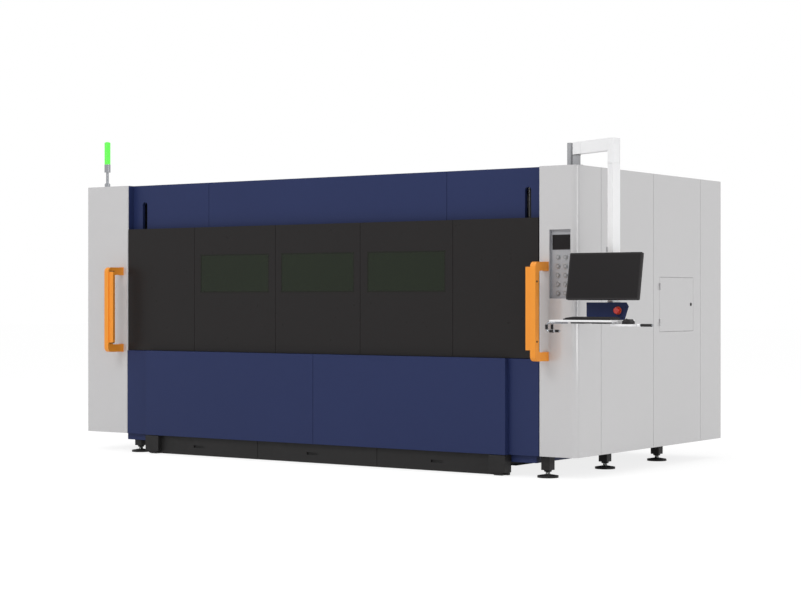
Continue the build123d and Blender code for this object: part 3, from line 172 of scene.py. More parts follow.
def black_enamel(looks):
    """Black enamel on drawers, runners and feet: satin, rubbed a little grey by handling."""
    return surface("black_enamel", looks.black, 0.5, grain=1.2, depth=0.03, tone=0.18, spread=0.09,
                   **{"Specular IOR Level": 0.2})


def smoked_acrylic(looks):
    """Cast acrylic, smoked almost black: a flat gloss without grain."""
    return surface("smoked_acrylic", looks.smoked, 0.3, grain=9.0, depth=0.002, tone=0.03, edge=0.8,
                   spread=0.03, **{"Specular IOR Level": 0.1})


def laser_glazing(looks):
    """Dyed polycarbonate that stops the laser's light: dark green, glossy, a little light comes through."""
    return surface("laser_glazing", looks.glazing, 0.16, grain=14.0, depth=0.004, tone=0.16, edge=0.5,
                   spread=0.03, **{"Transmission Weight": 0.12, "IOR": 1.58, "Specular IOR Level": 0.12})


def black_moulding(looks):
    """Moulded ABS with an eroded texture: matt and even."""
    return surface("black_moulding", looks.plastic, 0.55, grain=0.9, depth=0.04, tone=0.08,
                   **{"Specular IOR Level": 0.2})


def panel_glass(looks):
    """Switched-off display under a low gloss film."""
    return surface("panel_glass", looks.screen, 0.3, grain=9.0, depth=0.001, tone=0.0, edge=0.3,
                   spread=0.01, **{"Specular IOR Level": 0.1})


def green_lens(looks):
    """Polycarbonate lens of the signal lamp, lit from inside."""
    return surface("green_lens", looks.lamp, 0.2, grain=5.0, depth=0.01, tone=0.08, **{
        "Transmission Weight": 0.1, "Emission Color": paint(looks.lamp), "Emission Strength": 0.55})


def amber_glass(looks):
    """Filter strip in front of the light curtain's beams: deep amber, glossy."""
    return surface("amber_glass", "#B9701F", 0.2, grain=5.0, depth=0.004, tone=0.05)


def red_moulding(looks):
    """Red moulded cap of the emergency stop: a clean gloss."""
    return surface("red_moulding", "#D02A1C", 0.28, grain=3.0, depth=0.006, tone=0.05, coat=0.3)


def orange_moulding(looks):
    """Moulded ring behind the emergency stop: a warm orange, satin."""
    return surface("orange_moulding", "#E4572A", 0.4, grain=2.0, depth=0.01, tone=0.05)


def nickel_caps(looks):
    """Push button caps of matt nickel plated brass, greyed by handling."""
    return surface("nickel_caps", "#8A8B8E", 0.45, metallic=0.35, grain=0.8, depth=0.01, tone=0.1)


def ground_steel(looks):
    """Ground steel of rails and pins: fine lines along the grinding direction."""
    return surface("ground_steel", "#A3A5A8", 0.3, metallic=1.0, grain=0.9, depth=0.008, tone=0.08,
                   stretch=(0.02, 1.0, 1.0))


def flame_cut_steel(looks):
    """Slats and table of bare hot rolled steel: blue grey scale, browned by heat and spatter."""
    return surface("flame_cut_steel", "#6E6A66", 0.55, metallic=0.7, grain=2.4, depth=0.15, tone=0.35,
                   spread=0.12)


def anodised_aluminium(looks):
    """Extruded aluminium, blasted and anodised: silky, with faint lines along the profile."""
    return surface("anodised_aluminium", "#B9BBBE", 0.36, metallic=0.9, grain=0.7, depth=0.01, tone=0.05,
                   stretch=(1.0, 1.0, 0.05))


def zinc_plate(looks):
    """Zinc plated fasteners and sheet: pale, faintly mottled."""
    return surface("zinc_plate", "#B2B4B3", 0.34, metallic=1.0, grain=4.0, depth=0.02, tone=0.12)


def turned_copper(looks):
    """Turned copper of the cutting nozzle, with a trace of heat colour."""
    return surface("turned_copper", "#B86F4C", 0.28, metallic=1.0, grain=0.5, depth=0.01, tone=0.2)


def light_moulding(looks):
    """Light grey ABS: keys, ceramic ring and the laser source's front."""
    return surface("light_moulding", "#D6D5D1", 0.48, grain=0.9, depth=0.03, tone=0.03)


def soft_rubber(looks):
    """EPDM rubber of seals and feet: matt black with a dusty bloom."""
    return surface("soft_rubber", "#1C1B1B", 0.72, grain=1.4, depth=0.05, tone=0.2,
                   **{"Specular IOR Level": 0.15})


def window_seal(looks):
    """Extruded seal round the glazing, as dark as the door so that it hardly shows."""
    return surface("window_seal", "#232420", 0.6, grain=2.0, depth=0.02, tone=0.05,
                   **{"Specular IOR Level": 0.1})


def satin_steel(looks):
    """Stainless tube, brushed and wiped: darker than chrome, so that it shows on a white ground."""
    return surface("satin_steel", "#9A9CA0", 0.24, metallic=1.0, grain=1.0, depth=0.006, tone=0.06)


FINISHES = (
    navy_powder_coat, grey_powder_coat, matt_grey_coat, recess_grey_painted_shade, orange_powder_coat,
    white_enamel, black_enamel, grey_enamel, smoked_acrylic, laser_glazing, black_moulding, panel_glass,
    green_lens, amber_glass, red_moulding, orange_moulding, nickel_caps, ground_steel, flame_cut_steel,
    anodised_aluminium, satin_steel, zinc_plate, turned_copper, light_moulding, soft_rubber, window_seal,
)

NODE_FINISH = {
    "navy_powder_coat": ("bed_beams", "apron_panel", "lower_front_panels", "sill_rail", "fascia_panels",
                         "door_jambs", "control_box", "gantry"),
    "grey_powder_coat": ("left_pillar_cover", "right_pillar_cover", "left_side_panels", "right_side_panels",
                         "hatch_panel", "side_hatch", "cabin_frame"),
    "matt_grey_coat": ("roof_panels", "rear_panels"),
    # The control panel's pan takes the cover grey darkened as painted shade for its recess.
    "recess_grey_painted_shade": ("control_panel",),
    "orange_powder_coat": ("light_curtain_brackets", "light_curtains"),
    "white_enamel": ("boom_arm", "drop_tube", "keyboard_tray"),
    "grey_enamel": ("boom_pivot",),
    "black_enamel": ("slag_drawer_left", "slag_drawer_middle", "slag_drawer_right", "drawer_runners",
                     "levelling_feet", "door_frame", "door_lift_arms", "door_lift_guides"),
    "smoked_acrylic": ("door_panels",),
    "laser_glazing": ("door_windows",),
    "black_moulding": ("monitor", "keyboard", "mouse", "control_display", "hatch_lock"),
    "panel_glass": ("monitor_screen",),
    "green_lens": ("signal_lamp_lens",),
    "red_moulding": ("emergency_stop",),
    "ground_steel": ("x_rails",),
    "flame_cut_steel": ("table_frame", "table_slats"),
    "anodised_aluminium": ("carriage", "cutting_head"),
    "satin_steel": ("signal_lamp_body", "tray_handles"),
    "light_moulding": ("laser_source",),
}


# Shapes


def frame_of(origin, normal, along=None):
    """Origin and three axes: z along the normal, x along a given direction laid square to it."""
    z = np.asarray(normal, float) / np.linalg.norm(normal)
    seed = np.asarray(along if along is not None else (RIGHT if abs(z[0]) < 0.9 else UP), float)
    x = seed - z * seed.dot(z)
    x /= np.linalg.norm(x)
    return np.asarray(origin, float), np.stack((x, np.cross(z, x), z))


def seat(points, origin, normal, along=None):
    """Points of a piece drawn about z, moved to the origin and turned so that z runs along the normal."""
    start, axes = frame_of(origin, normal, along)
    return start + points @ axes


def turned(profile, steps=32):
    """A turned piece: each (radius, height) of the profile carried round z in a full circle."""
    radius, height = np.asarray(profile, float).T
    angle = np.linspace(0, 2 * np.pi, steps, endpoint=False)
    ring = np.stack((np.cos(angle), np.sin(angle)), axis=-1)
    flat = radius[:, None, None] * ring[None]
    return np.concatenate((flat, np.broadcast_to(height[:, None, None], flat.shape[:2] + (1,))), axis=-1)


def outline(width, depth, corner, steps=4):
    """A rectangle with round corners: each corner's centre plus a quarter circle."""
    turn = np.linspace(0, np.pi / 2, steps + 1)
    angle = np.concatenate([turn + quarter * np.pi / 2 for quarter in range(4)])
    sign = np.repeat(np.array(((1, 1), (-1, 1), (-1, -1), (1, -1))), steps + 1, axis=0)
    centre = sign * np.array((width / 2 - corner, depth / 2 - corner))
    return centre + corner * np.stack((np.cos(angle), np.sin(angle)), axis=-1)


def block(width, depth, height, corner, edge, steps=3):
    """A rounded block standing on z = 0: its outline is drawn in by a quarter circle at the top edge."""
    turn = np.linspace(0, np.pi / 2, steps + 1)
    levels = [(0.0, 0.0), (0.0, 0.0)]
    levels += [(edge * (1 - np.cos(t)), height - edge + edge * np.sin(t)) for t in turn]
    rows = []
    for inset, z in levels:
        flat = outline(width - 2 * inset, depth - 2 * inset, max(corner - inset, edge / 10))
        rows.append(np.column_stack((flat, np.full(len(flat), z))))
    rows[0] = rows[0] * (0, 0, 1)
    rows.append(rows[-1] * (0, 0, 1))
    return np.array(rows)


def piece(name, grids, finish, body, angle=38):
    """One mesh from grids of points, each closed round its second direction, riding on a body."""
    points, faces, start = [], [], 0
    for grid in grids:
        rows, columns = grid.shape[:2]
        index = np.arange(rows * columns).reshape(rows, columns) + start
        ahead = np.roll(index, -1, axis=1)
        faces.append(np.stack((index[:-1], ahead[:-1], ahead[1:], index[1:]), axis=-1).reshape(-1, 4))
        points.append(grid.reshape(-1, 3))
        start += rows * columns
    mesh = bpy.data.meshes.new(name)
    mesh.from_pydata(np.concatenate(points), [], np.concatenate(faces))
    tidy = bmesh.new()
    tidy.from_mesh(mesh)
    bmesh.ops.remove_doubles(tidy, verts=tidy.verts, dist=1e-6)
    bmesh.ops.recalc_face_normals(tidy, faces=tidy.faces)
    tidy.to_mesh(mesh)
    tidy.free()
    mesh.shade_smooth()
    mesh.set_sharp_from_angle(angle=np.radians(angle))
    mesh.materials.append(made[finish])
    built = bpy.data.objects.new(name, mesh)
    bpy.context.scene.collection.objects.link(built)
    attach(built, body)
    return built


def many(template, places):
    """Copies of one grid at many (origin, normal) places."""
    return [seat(template, origin, normal) for origin, normal in places]


# Fasteners


def socket_screw(radius):
    """Button head screw: a quarter circle pressed to 55% of its height is turned, with a round socket."""
    crown, socket, floor, skirt = 0.55 * radius, 0.42 * radius, 0.2 * radius, -0.02 * radius
    turn = np.linspace(0, np.pi / 2, 6)[:-1]
    dome = [(radius * np.cos(t), crown * np.sin(t)) for t in turn]
    return turned([(0, skirt), (radius, skirt)] + dome + [(socket, crown), (socket, floor), (0, floor)], 24)


def hexagon(across, height, bore):
    """Hexagon nut: a six-sided outline, chamfered at both ends, with a round bore."""
    angle = np.linspace(0, 2 * np.pi, 48, endpoint=False)
    side = across / 2 / np.cos((angle + np.pi / 6) % (np.pi / 3) - np.pi / 6)
    hole = np.full_like(angle, bore)
    rim = np.minimum(side, across / 2 * 0.98)
    cut = height * 0.12
    levels = (
        (hole, 0), (rim, 0), (side, cut), (side, height - cut), (rim, height), (hole, height), (hole, 0),
    )
    return np.array([
        np.stack((radius * np.cos(angle), radius * np.sin(angle), np.full_like(angle, z)), -1)
        for radius, z in levels])


def thread(radius, pitch, length):
    """Screw thread: rings, four to a pitch, whose radius rises and falls once in each pitch."""
    z = np.linspace(0, length, int(length / pitch * 4) + 1)
    ridge = radius + 0.3 * pitch * (1 - np.abs(2 * ((z / pitch) % 1) - 1))
    return turned(np.column_stack((ridge, z)), 32)


# Sizes and colours that a user would change


class MachineLooks(bpy.types.PropertyGroup):
    """Colours of the machine, as sRGB hex values."""

    navy: bpy.props.StringProperty(name="Navy", description="Coat of base and fascia", default="#273158")
    grey: bpy.props.StringProperty(name="Grey", description="Coat of the covers", default="#C5C4C5")
    # The recess colour is the cover grey darkened: painted shade in the control panel's recess.
    recess_painted_shade: bpy.props.StringProperty(name="Recess", description="Control panel", default="#A9AAAE")
    orange: bpy.props.StringProperty(name="Orange", description="Guards", default="#F49A33")
    white: bpy.props.StringProperty(name="White", description="Boom and tray", default="#EFEFF0")
    pivot: bpy.props.StringProperty(name="Pivot", description="Pivot of the boom", default="#A4A5A8")
    black: bpy.props.StringProperty(name="Black", description="Enamel of the drawers", default="#262525")
    smoked: bpy.props.StringProperty(name="Smoked", description="Skin of the door", default="#292727")
    glazing: bpy.props.StringProperty(name="Glazing", description="Door windows", default="#1A2314")
    plastic: bpy.props.StringProperty(name="Plastic", description="Black mouldings", default="#262425")
    screen: bpy.props.StringProperty(name="Screen", description="Dark display", default="#232122")
    lamp: bpy.props.StringProperty(name="Lamp", description="Signal lamp", default="#58E646")


class MachineSizes(bpy.types.PropertyGroup):
    """Sizes of the fittings."""

    screw_radius: bpy.props.FloatProperty(
        name="Screw head", description="Radius of the guard's screw heads", default=0.0075, unit="LENGTH")
    key_gap: bpy.props.FloatProperty(
        name="Key gap", description="Gap between two keycaps", default=0.0028, unit="LENGTH")
    key_height: bpy.props.FloatProperty(
        name="Key height", description="Height of a keycap above its row", default=0.0045, unit="LENGTH")
    gasket_width: bpy.props.FloatProperty(
        name="Window gasket", description="Width of a window's rubber", default=0.009, unit="LENGTH")
    lens_ribs: bpy.props.IntProperty(
        name="Lens ribs", description="Ribs round the signal lamp's lens", default=22)
    floor_size: bpy.props.FloatProperty(
        name="Floor", description="Side of the floor", default=120.0, unit="LENGTH")
    lens_length: bpy.props.FloatProperty(
        name="Camera lens", description="Focal length on a 36 mm sensor, in mm", default=83.2)


# Operators


class MACHINE_OT_finishes(bpy.types.Operator):
    """Make every finish and give each node its own"""

    bl_idname = "machine.finishes"
    bl_label = "Finishes"

    def execute(self, context):
        for make in FINISHES:
            make(context.scene.machine_looks)
        for finish, nodes in NODE_FINISH.items():
            for name in nodes:
                dress(name, finish)
        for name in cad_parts:
            if name.startswith("push_button"):
                dress(name, "nickel_caps")
        return {"FINISHED"}


def dress(name, finish):
    """Put a finish on a node of the frame."""
    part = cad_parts[name]
    part.data.materials.clear()
    part.data.materials.append(made[finish])


class MACHINE_OT_lamp(bpy.types.Operator):
    """Ribbed lens of the signal lamp"""

    bl_idname = "machine.lamp"
    bl_label = "Signal lamp"

    def execute(self, context):
        ribs = context.scene.machine_sizes.lens_ribs
        low, high = map(np.array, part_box("signal_lamp_lens"))
        radius = (high[0] - low[0]) / 2
        height = high[2] - low[2]
        ribbed = height * 0.93  # a low dome takes the rest
        z = np.linspace(0, ribbed, ribs * 6)
        ripple = radius * (0.965 + 0.03 * np.cos(2 * np.pi * z / ribbed * ribs))
        turn = np.linspace(0, np.pi / 2, 8)[1:]
        cap = np.column_stack((radius * np.cos(turn), ribbed + (height - ribbed) * np.sin(turn)))
        profile = np.vstack(([(0, 0)], np.column_stack((ripple, z)), cap))
        centre = ((low[0] + high[0]) / 2, (low[1] + high[1]) / 2, low[2])
        lens = piece("signal_lens", [seat(turned(profile, 48), centre, UP, RIGHT)], "green_lens", "root",
                     60)
        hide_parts("signal_lamp_lens")
        return {"FINISHED"}


class MACHINE_OT_feet(bpy.types.Operator):
    """Threads and lock nuts of the levelling feet"""

    bl_idname = "machine.feet"
    bl_label = "Levelling feet"

    def execute(self, context):
        low, high = map(np.array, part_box("levelling_feet"))
        pad, pad_top, block_bottom = 0.074, 0.024, 0.052
        stud, pitch = 0.015, 0.003
        across, nut = 0.046, 0.012
        threads, nuts = [], []
        for x in (low[0] + pad, high[0] - pad):
            for y in np.linspace(low[1] + pad, high[1] - pad, 3):
                threads.append(seat(thread(stud, pitch, block_bottom - pad_top), (x, y, pad_top), UP))
                nuts.append(seat(hexagon(across, nut, stud), (x, y, block_bottom - nut), UP))
        piece("levelling_threads", threads, "zinc_plate", "root")
        piece("levelling_nuts", nuts, "black_enamel", "root")
        return {"FINISHED"}


class MACHINE_OT_guards(bpy.types.Operator):
    """Screws of the orange guards, and the light curtains' windows and end caps"""

    bl_idname = "machine.guards"
    bl_label = "Guards"

    def execute(self, context):
        low, high = map(np.array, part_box("light_curtain_brackets"))
        flange, setback = 0.002, 0.021
        y = low[1] + setback
        heights = [low[2] + share * (high[2] - low[2]) for share in (0.2, 0.8)]
        places = [((high[0] - flange, y, z), RIGHT) for z in heights]
        places += [((low[0] + flange, y, z), -RIGHT) for z in heights]
        screw = socket_screw(context.scene.machine_sizes.screw_radius)
        piece("guard_screws", many(screw, places), "black_enamel", "root")
        near, far = map(np.array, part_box("light_curtains"))
        width, depth, height = 0.042, far[1] - near[1], far[2] - near[2]
        strip = block(depth * 0.4, height - 0.05, 0.0012, 0.003, 0.001)
        cap = block(width - 0.003, depth - 0.003, 0.006, 0.004, 0.0015)
        strips, caps = [], []
        for x, inner in ((near[0], RIGHT), (far[0] - width, -RIGHT)):
            face = x + (width if inner[0] > 0 else 0)
            strips.append(seat(strip, (face, near[1] + depth / 2, (near[2] + far[2]) / 2), inner, REAR))
            for z, outward in ((near[2], -UP), (far[2], UP)):
                caps.append(seat(cap, (x + width / 2, near[1] + depth / 2, z), outward, RIGHT))
        piece("curtain_windows", strips, "amber_glass", "root")
        piece("curtain_caps", caps, "black_moulding", "root")
        return {"FINISHED"}


class MACHINE_OT_door(bpy.types.Operator):
    """Gaskets round the door's windows"""

    bl_idname = "machine.door"
    bl_label = "Door"

    def execute(self, context):
        gasket = context.scene.machine_sizes.gasket_width
        low, high = map(np.array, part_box("door_windows"))
        centres, width = window_centres(low, high)
        height, middle = high[2] - low[2], (low[2] + high[2]) / 2
        corner, proud = 0.012, 0.0002
        loop = outline(width - gasket, height - gasket, corner, 6)
        section = outline(gasket, 0.0016, 0.0006, 2)
        rings = []
        for x in centres:
            face = np.full(len(loop), low[1] - proud)
            path = np.column_stack((loop[:, 0] + x, face, loop[:, 1] + middle))
            rings.append(ring_along(path, section))
        piece("window_gaskets", rings, "window_seal", "door")
        return {"FINISHED"}


def window_centres(low, high):
    """Middles and width of the three equal windows, read from the frame's node."""
    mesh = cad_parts["door_windows"].data
    points = np.empty(len(mesh.vertices) * 3)
    mesh.vertices.foreach_get("co", points)
    edges = np.unique(np.round(points.reshape(-1, 3)[:, 0], 4))
    pairs = edges.reshape(-1, 2) if len(edges) == 6 else np.array([(low[0], high[0])])
    return pairs.mean(axis=1), pairs[0, 1] - pairs[0, 0]


def ring_along(path, section):
    """A section carried round a closed loop that lies in one plane across y."""
    ahead = np.roll(path, -1, axis=0) - np.roll(path, 1, axis=0)
    ahead /= np.linalg.norm(ahead, axis=1, keepdims=True)
    side = np.cross(ahead, -REAR)
    grid = path[:, None] + section[None, :, :1] * side[:, None] - section[None, :, 1:] * REAR
    return np.concatenate((grid, grid[:1]))


class MACHINE_OT_covers(bpy.types.Operator):
    """Louvre blades behind the slots at the rear"""

    bl_idname = "machine.covers"
    bl_label = "Covers"

    def execute(self, context):
        low, high = map(np.array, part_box("rear_panels"))
        top, pitch, rows, setback = 1.9, 0.034, 8, 0.009
        half_panel = (high[0] - low[0]) / 6
        blade = block(0.3, 0.016, 0.0012, 0.002, 0.0005)
        blades = [seat(blade, (x, high[1] - setback, top - row * pitch), REAR + UP, RIGHT)
                  for x in (low[0] + half_panel, high[0] - half_panel) for row in range(rows)]
        piece("rear_louvres", blades, "grey_powder_coat", "root")
        return {"FINISHED"}


class MACHINE_OT_control_panel(bpy.types.Operator):
    """Glass of the small display, bright rings round the push buttons and dished inlays on their caps"""

    bl_idname = "machine.control_panel"
    bl_label = "Control panel"

    def execute(self, context):
        low, high = map(np.array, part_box("control_display"))
        x, _, z = (low + high) / 2
        margin = 0.012
        glass = block(high[0] - low[0] - margin, high[2] - low[2] - margin, 0.0006, 0.003, 0.0003)
        piece("display_glass", [seat(glass, (x, low[1], z), -REAR, RIGHT)], "panel_glass", "root")
        sheet, bezel_height = 0.002, 0.004
        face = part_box("control_panel")[1][1] - sheet - bezel_height
        bezel = turned([(0.0145, 0), (0.0185, 0), (0.0185, 0.0008), (0.0175, 0.0018), (0.0155, 0.0018),
                        (0.0145, 0.0008), (0.0145, 0)], 40)
        dish = turned([(0, 0.0006), (0.004, 0.0005), (0.0075, 0.0009), (0.009, 0.0011), (0.0098, 0.0006),
                       (0.0098, 0), (0, 0)], 32)
        rings, inlays = [], {}
        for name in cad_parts:
            if name.startswith("push_button"):
                near, far = map(np.array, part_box(name))
                x, _, z = (near + far) / 2
                rings.append(seat(bezel, (x, face, z), -REAR, RIGHT))
                inlays[name] = seat(dish, (x, near[1], z), -REAR, RIGHT)
        piece("button_rings", rings, "zinc_plate", "root")
        for name, inlay in inlays.items():
            piece(f"{name}_inlay", [inlay], "grey_enamel", name.replace("push_button", "button"))
        return {"FINISHED"}


class MACHINE_OT_console(bpy.types.Operator):
    """Keys, mouse wheel, emergency stop ring, screws, monitor vents and grips of the console"""

    bl_idname = "machine.console"
    bl_label = "Console"

    def execute(self, context):
        self.keycaps(context.scene.machine_sizes)
        self.mouse_wheel()
        self.stop_ring()
        self.box_screws()
        self.monitor_vents()
        self.grips()
        return {"FINISHED"}

    def keycaps(self, sizes):
        """Five rows of caps on the keyboard's slope: their widths follow a plain office keyboard."""
        low, high = map(np.array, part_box("keyboard"))
        rows = (
            (1,) * 15, (1.5,) + (1,) * 12 + (1.5,), (1.8,) + (1,) * 11 + (2.2,),
            (2.3,) + (1,) * 10 + (2.7,), (1.3, 1.1, 1.2, 6.2, 1.2, 1.1, 1.4, 1.5),
        )
        margin, front_height, rise, lift = 0.009, 0.008, 0.008, 0.0012
        depth = (high[1] - low[1] - 2 * margin) / len(rows)
        slope = rise / (high[1] - low[1])
        grids = []
        for number, widths in enumerate(rows):
            y = high[1] - margin - depth * (number + 0.5)
            base = low[2] + front_height + slope * (y - low[1]) + lift
            unit = (high[0] - low[0] - 2 * margin) / sum(widths)
            x = low[0] + margin
            for width in widths:
                cap = block(unit * width - sizes.key_gap, depth - sizes.key_gap, sizes.key_height, 0.0025,
                            0.0014)
                grids.append(seat(cap, (x + unit * width / 2, y, base), UP, RIGHT))
                x += unit * width
        piece("keycaps", grids, "black_moulding", "console")

    def mouse_wheel(self):
        """A short roller with a round tread, a quarter of the way along the mouse."""
        low, high = map(np.array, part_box("mouse"))
        centre = ((low[0] + high[0]) / 2, low[1] + (high[1] - low[1]) * 0.24, high[2] - 0.004)
        half, hub, tread = 0.004, 0.0075, 0.0015
        turn = np.linspace(-np.pi / 2, np.pi / 2, 9)
        rim = [(hub + tread * np.cos(t), half * np.sin(t)) for t in turn]
        wheel = turned([(0, -half)] + rim + [(0, half)], 28)
        piece("mouse_wheel", [seat(wheel, centre, RIGHT)], "soft_rubber", "console")

    def stop_ring(self):
        """Orange ring on the box behind the emergency stop."""
        low, high = map(np.array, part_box("emergency_stop"))
        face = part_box("control_box")[0][1] - 0.0005
        ring = turned([(0.0125, 0), (0.0265, 0), (0.0265, 0.0012), (0.0255, 0.0018), (0.0125, 0.0018),
                       (0.0125, 0)], 48)
        place = ((low[0] + high[0]) / 2, face, (low[2] + high[2]) / 2)
        piece("stop_ring", [seat(ring, place, -REAR, RIGHT)], "orange_moulding", "console")

    def box_screws(self):
        """Button head screws at the corners of the control box's front."""
        low = np.array(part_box("control_box")[0])
        face = low[1] + 0.004
        places = [((low[0] + x, face, low[2] + z), -REAR)
                  for x, z in ((0.014, 0.014), (0.014, 0.102), (0.272, 0.014), (0.295, 0.086))]
        piece("box_screws", many(socket_screw(SMALL_SCREW), places), "black_enamel", "console")

    def monitor_vents(self):
        """Vent slots across the upper half of the monitor's back, which leans 10.7 degrees."""
        low, high = map(np.array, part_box("monitor"))
        lean = np.radians(10.7)
        ahead = np.array((0, -np.cos(lean), np.sin(lean)))
        rise = np.array((0, np.sin(lean), np.cos(lean)))
        first = np.array(((low[0] + high[0]) / 2, *TILT_PIN)) + ahead * 0.02 + rise * 0.026
        pitch, count = 0.0085, 5
        slot = block(0.19, 0.0036, 0.0006, 0.0016, 0.0002)
        slots = [seat(slot, first + rise * pitch * row, -ahead, RIGHT) for row in range(count)]
        piece("monitor_vents", slots, "soft_rubber", "monitor_body")

    def grips(self):
        """Black sleeves on the hooks and on the rod, a collar at the rod's root, bars under the tray."""
        low, high = map(np.array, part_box("tray_handles"))
        tray_low, tray_high = map(np.array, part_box("keyboard_tray"))
        radius, drop, bend, rod, overlap = 0.007, 0.056, 0.016, 0.116, 0.004
        x, z = low[0] + radius, high[2] - radius
        near, far = low[1] + radius, high[1] - radius
        upright = sleeve(radius, drop - 2 * bend + 2 * overlap)
        grids = [seat(upright, (x, y, z - drop + bend - overlap), UP) for y in (near, far)]
        tail = sleeve(radius, 0.03)
        grids += [seat(tail, (x + 0.024, y, z - drop), RIGHT, UP) for y in (near, far)]
        rod_x, rod_y, rod_z = high[0] - rod, (near + far) / 2 + 0.015, z - 0.012
        grids.append(seat(sleeve(radius, rod - 0.034), (rod_x + 0.03, rod_y, rod_z), RIGHT, UP))
        piece("tray_grips", grids, "black_moulding", "console")
        collar = turned([(0.006, 0), (0.0095, 0.001), (0.0095, 0.021), (0.0085, 0.024), (0.006, 0.024),
                         (0.006, 0)], 28)
        piece("rod_joint", [seat(collar, (rod_x + 0.001, rod_y, rod_z), RIGHT, UP)], "white_enamel",
              "console")
        tray = 0.014
        bar = block(0.105, 0.16, 0.011, 0.003, 0.0015)
        bars = [seat(bar, (tray_low[0] + offset, (tray_low[1] + tray_high[1]) / 2, tray_high[2] - tray),
                     -UP, RIGHT) for offset in (0.17, 0.33)]
        piece("tray_bars", bars, "black_enamel", "console")


def sleeve(radius, length):
    """A thin tube over a rod: its wall stands 2.5 mm proud, with a 1 mm chamfer at each end."""
    inner, outer, cut = radius - 0.0005, radius + 0.0025, 0.001
    return turned([(inner, 0), (outer - cut, 0), (outer, cut), (outer, length - cut), (outer - cut, length),
                   (inner, length), (inner, 0)], 24)


class MACHINE_OT_boom(bpy.types.Operator):
    """Seam under the boom's hub, screws of the pivot's flange and the cable clamp on the drop tube"""

    bl_idname = "machine.boom"
    bl_label = "Boom"

    def execute(self, context):
        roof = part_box("right_pillar_cover")[1][2]
        x, y = PIVOT
        seam = turned([(0.0268, 0), (0.0286, 0), (0.0286, 0.0035), (0.0268, 0.0035), (0.0268, 0)], 40)
        piece("hub_seam", [seat(seam, (x, y, roof + 0.075), UP)], "soft_rubber", "root")
        circle, flange = 0.037, 0.008
        angles = np.radians((20, 110, 200, 290))
        places = [((x + circle * np.cos(a), y + circle * np.sin(a), roof + flange), UP) for a in angles]
        piece("pivot_screws", many(socket_screw(SMALL_SCREW), places), "zinc_plate", "root")
        heading, length, clamp_height = np.radians(-25.9), 0.437, 1.568
        along = np.array((np.cos(heading), np.sin(heading), 0))
        elbow = np.array((x, y, clamp_height)) + length * along
        clamp = block(0.036, 0.05, 0.026, 0.006, 0.004)
        piece("cable_clamp", [seat(clamp, elbow - along * 0.03, -along, UP)], "grey_enamel", "console")
        return {"FINISHED"}


def bevelled_plate(width, height, cut, thickness):
    """A plate of even thickness whose two upper corners are cut at 45 degrees, with rounded rims."""
    w, h, rim = width / 2, height / 2, 0.0008
    corners = np.array(((-w, -h), (w, -h), (w, h - cut), (w - cut, h), (cut - w, h), (-w, h - cut)))
    levels = ((0, 0), (1, 0), (1, thickness - rim), (1 - rim / w, thickness), (0, thickness))
    return np.array([np.column_stack((corners * share, np.full(6, z))) for share, z in levels])


class MACHINE_OT_gantry(bpy.types.Operator):
    """End plates of the gantry's beam with their screws, and the shells of its drive motors"""

    bl_idname = "machine.gantry"
    bl_label = "Gantry"

    def execute(self, context):
        low, high = map(np.array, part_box("gantry"))
        beam_x, middle, width, height, wall, thickness = high[0] - 0.14, 1.1, 0.22, 0.28, 0.01, 0.004
        plate = bevelled_plate(width - 2 * wall, height - 2 * wall, 0.036, thickness)
        plates, screws = [], []
        for y, outward in ((low[1], -REAR), (high[1], REAR)):
            face = np.array((beam_x, y, middle)) - outward * 2 * thickness
            plates.append(seat(plate, face, outward, np.cross(UP, outward)))
            for x, z in ((-0.08, -0.11), (0.08, -0.11), (-0.08, 0.08), (0.08, 0.08)):
                screws.append((face + outward * thickness + RIGHT * x + UP * z, outward))
        piece("beam_end_plates", plates, "black_enamel", "gantry_body")
        piece("beam_end_screws", many(socket_screw(0.006), screws), "zinc_plate", "gantry_body")
        shell = turned([(0, 0), (0.0392, 0), (0.0396, 0.001), (0.0396, 0.074), (0.036, 0.0795),
                        (0, 0.0795)], 40)
        motor_inset, motor_end, motor_bottom = 0.045, 0.055, 0.8265
        motors = [seat(shell, (low[0] + motor_inset, y, motor_bottom), UP)
                  for y in (low[1] + motor_end, high[1] - motor_end)]
        piece("motor_shells", motors, "black_enamel", "gantry_body")
        return {"FINISHED"}


class MACHINE_OT_head(bpy.types.Operator):
    """Nozzle and ceramic ring of the cutting head"""

    bl_idname = "machine.head"
    bl_label = "Cutting head"

    def execute(self, context):
        low, high = map(np.array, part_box("cutting_head"))
        tip = (high[0] - 0.03, (low[1] + high[1]) / 2, low[2])
        nozzle = turned([(0, 0.0), (0.0016, 0.0), (0.0045, 0.004), (0.0075, 0.012), (0.0105, 0.0125),
                         (0.0105, 0.018), (0, 0.018)], 36)
        ring = turned([(0.0105, 0.018), (0.0185, 0.022), (0.0185, 0.032), (0.0175, 0.034),
                       (0.0165, 0.034)], 36)
        piece("nozzle", [seat(nozzle, tip, UP)], "turned_copper", "head")
        piece("ceramic_ring", [seat(ring, tip, UP)], "light_moulding", "head")
        return {"FINISHED"}


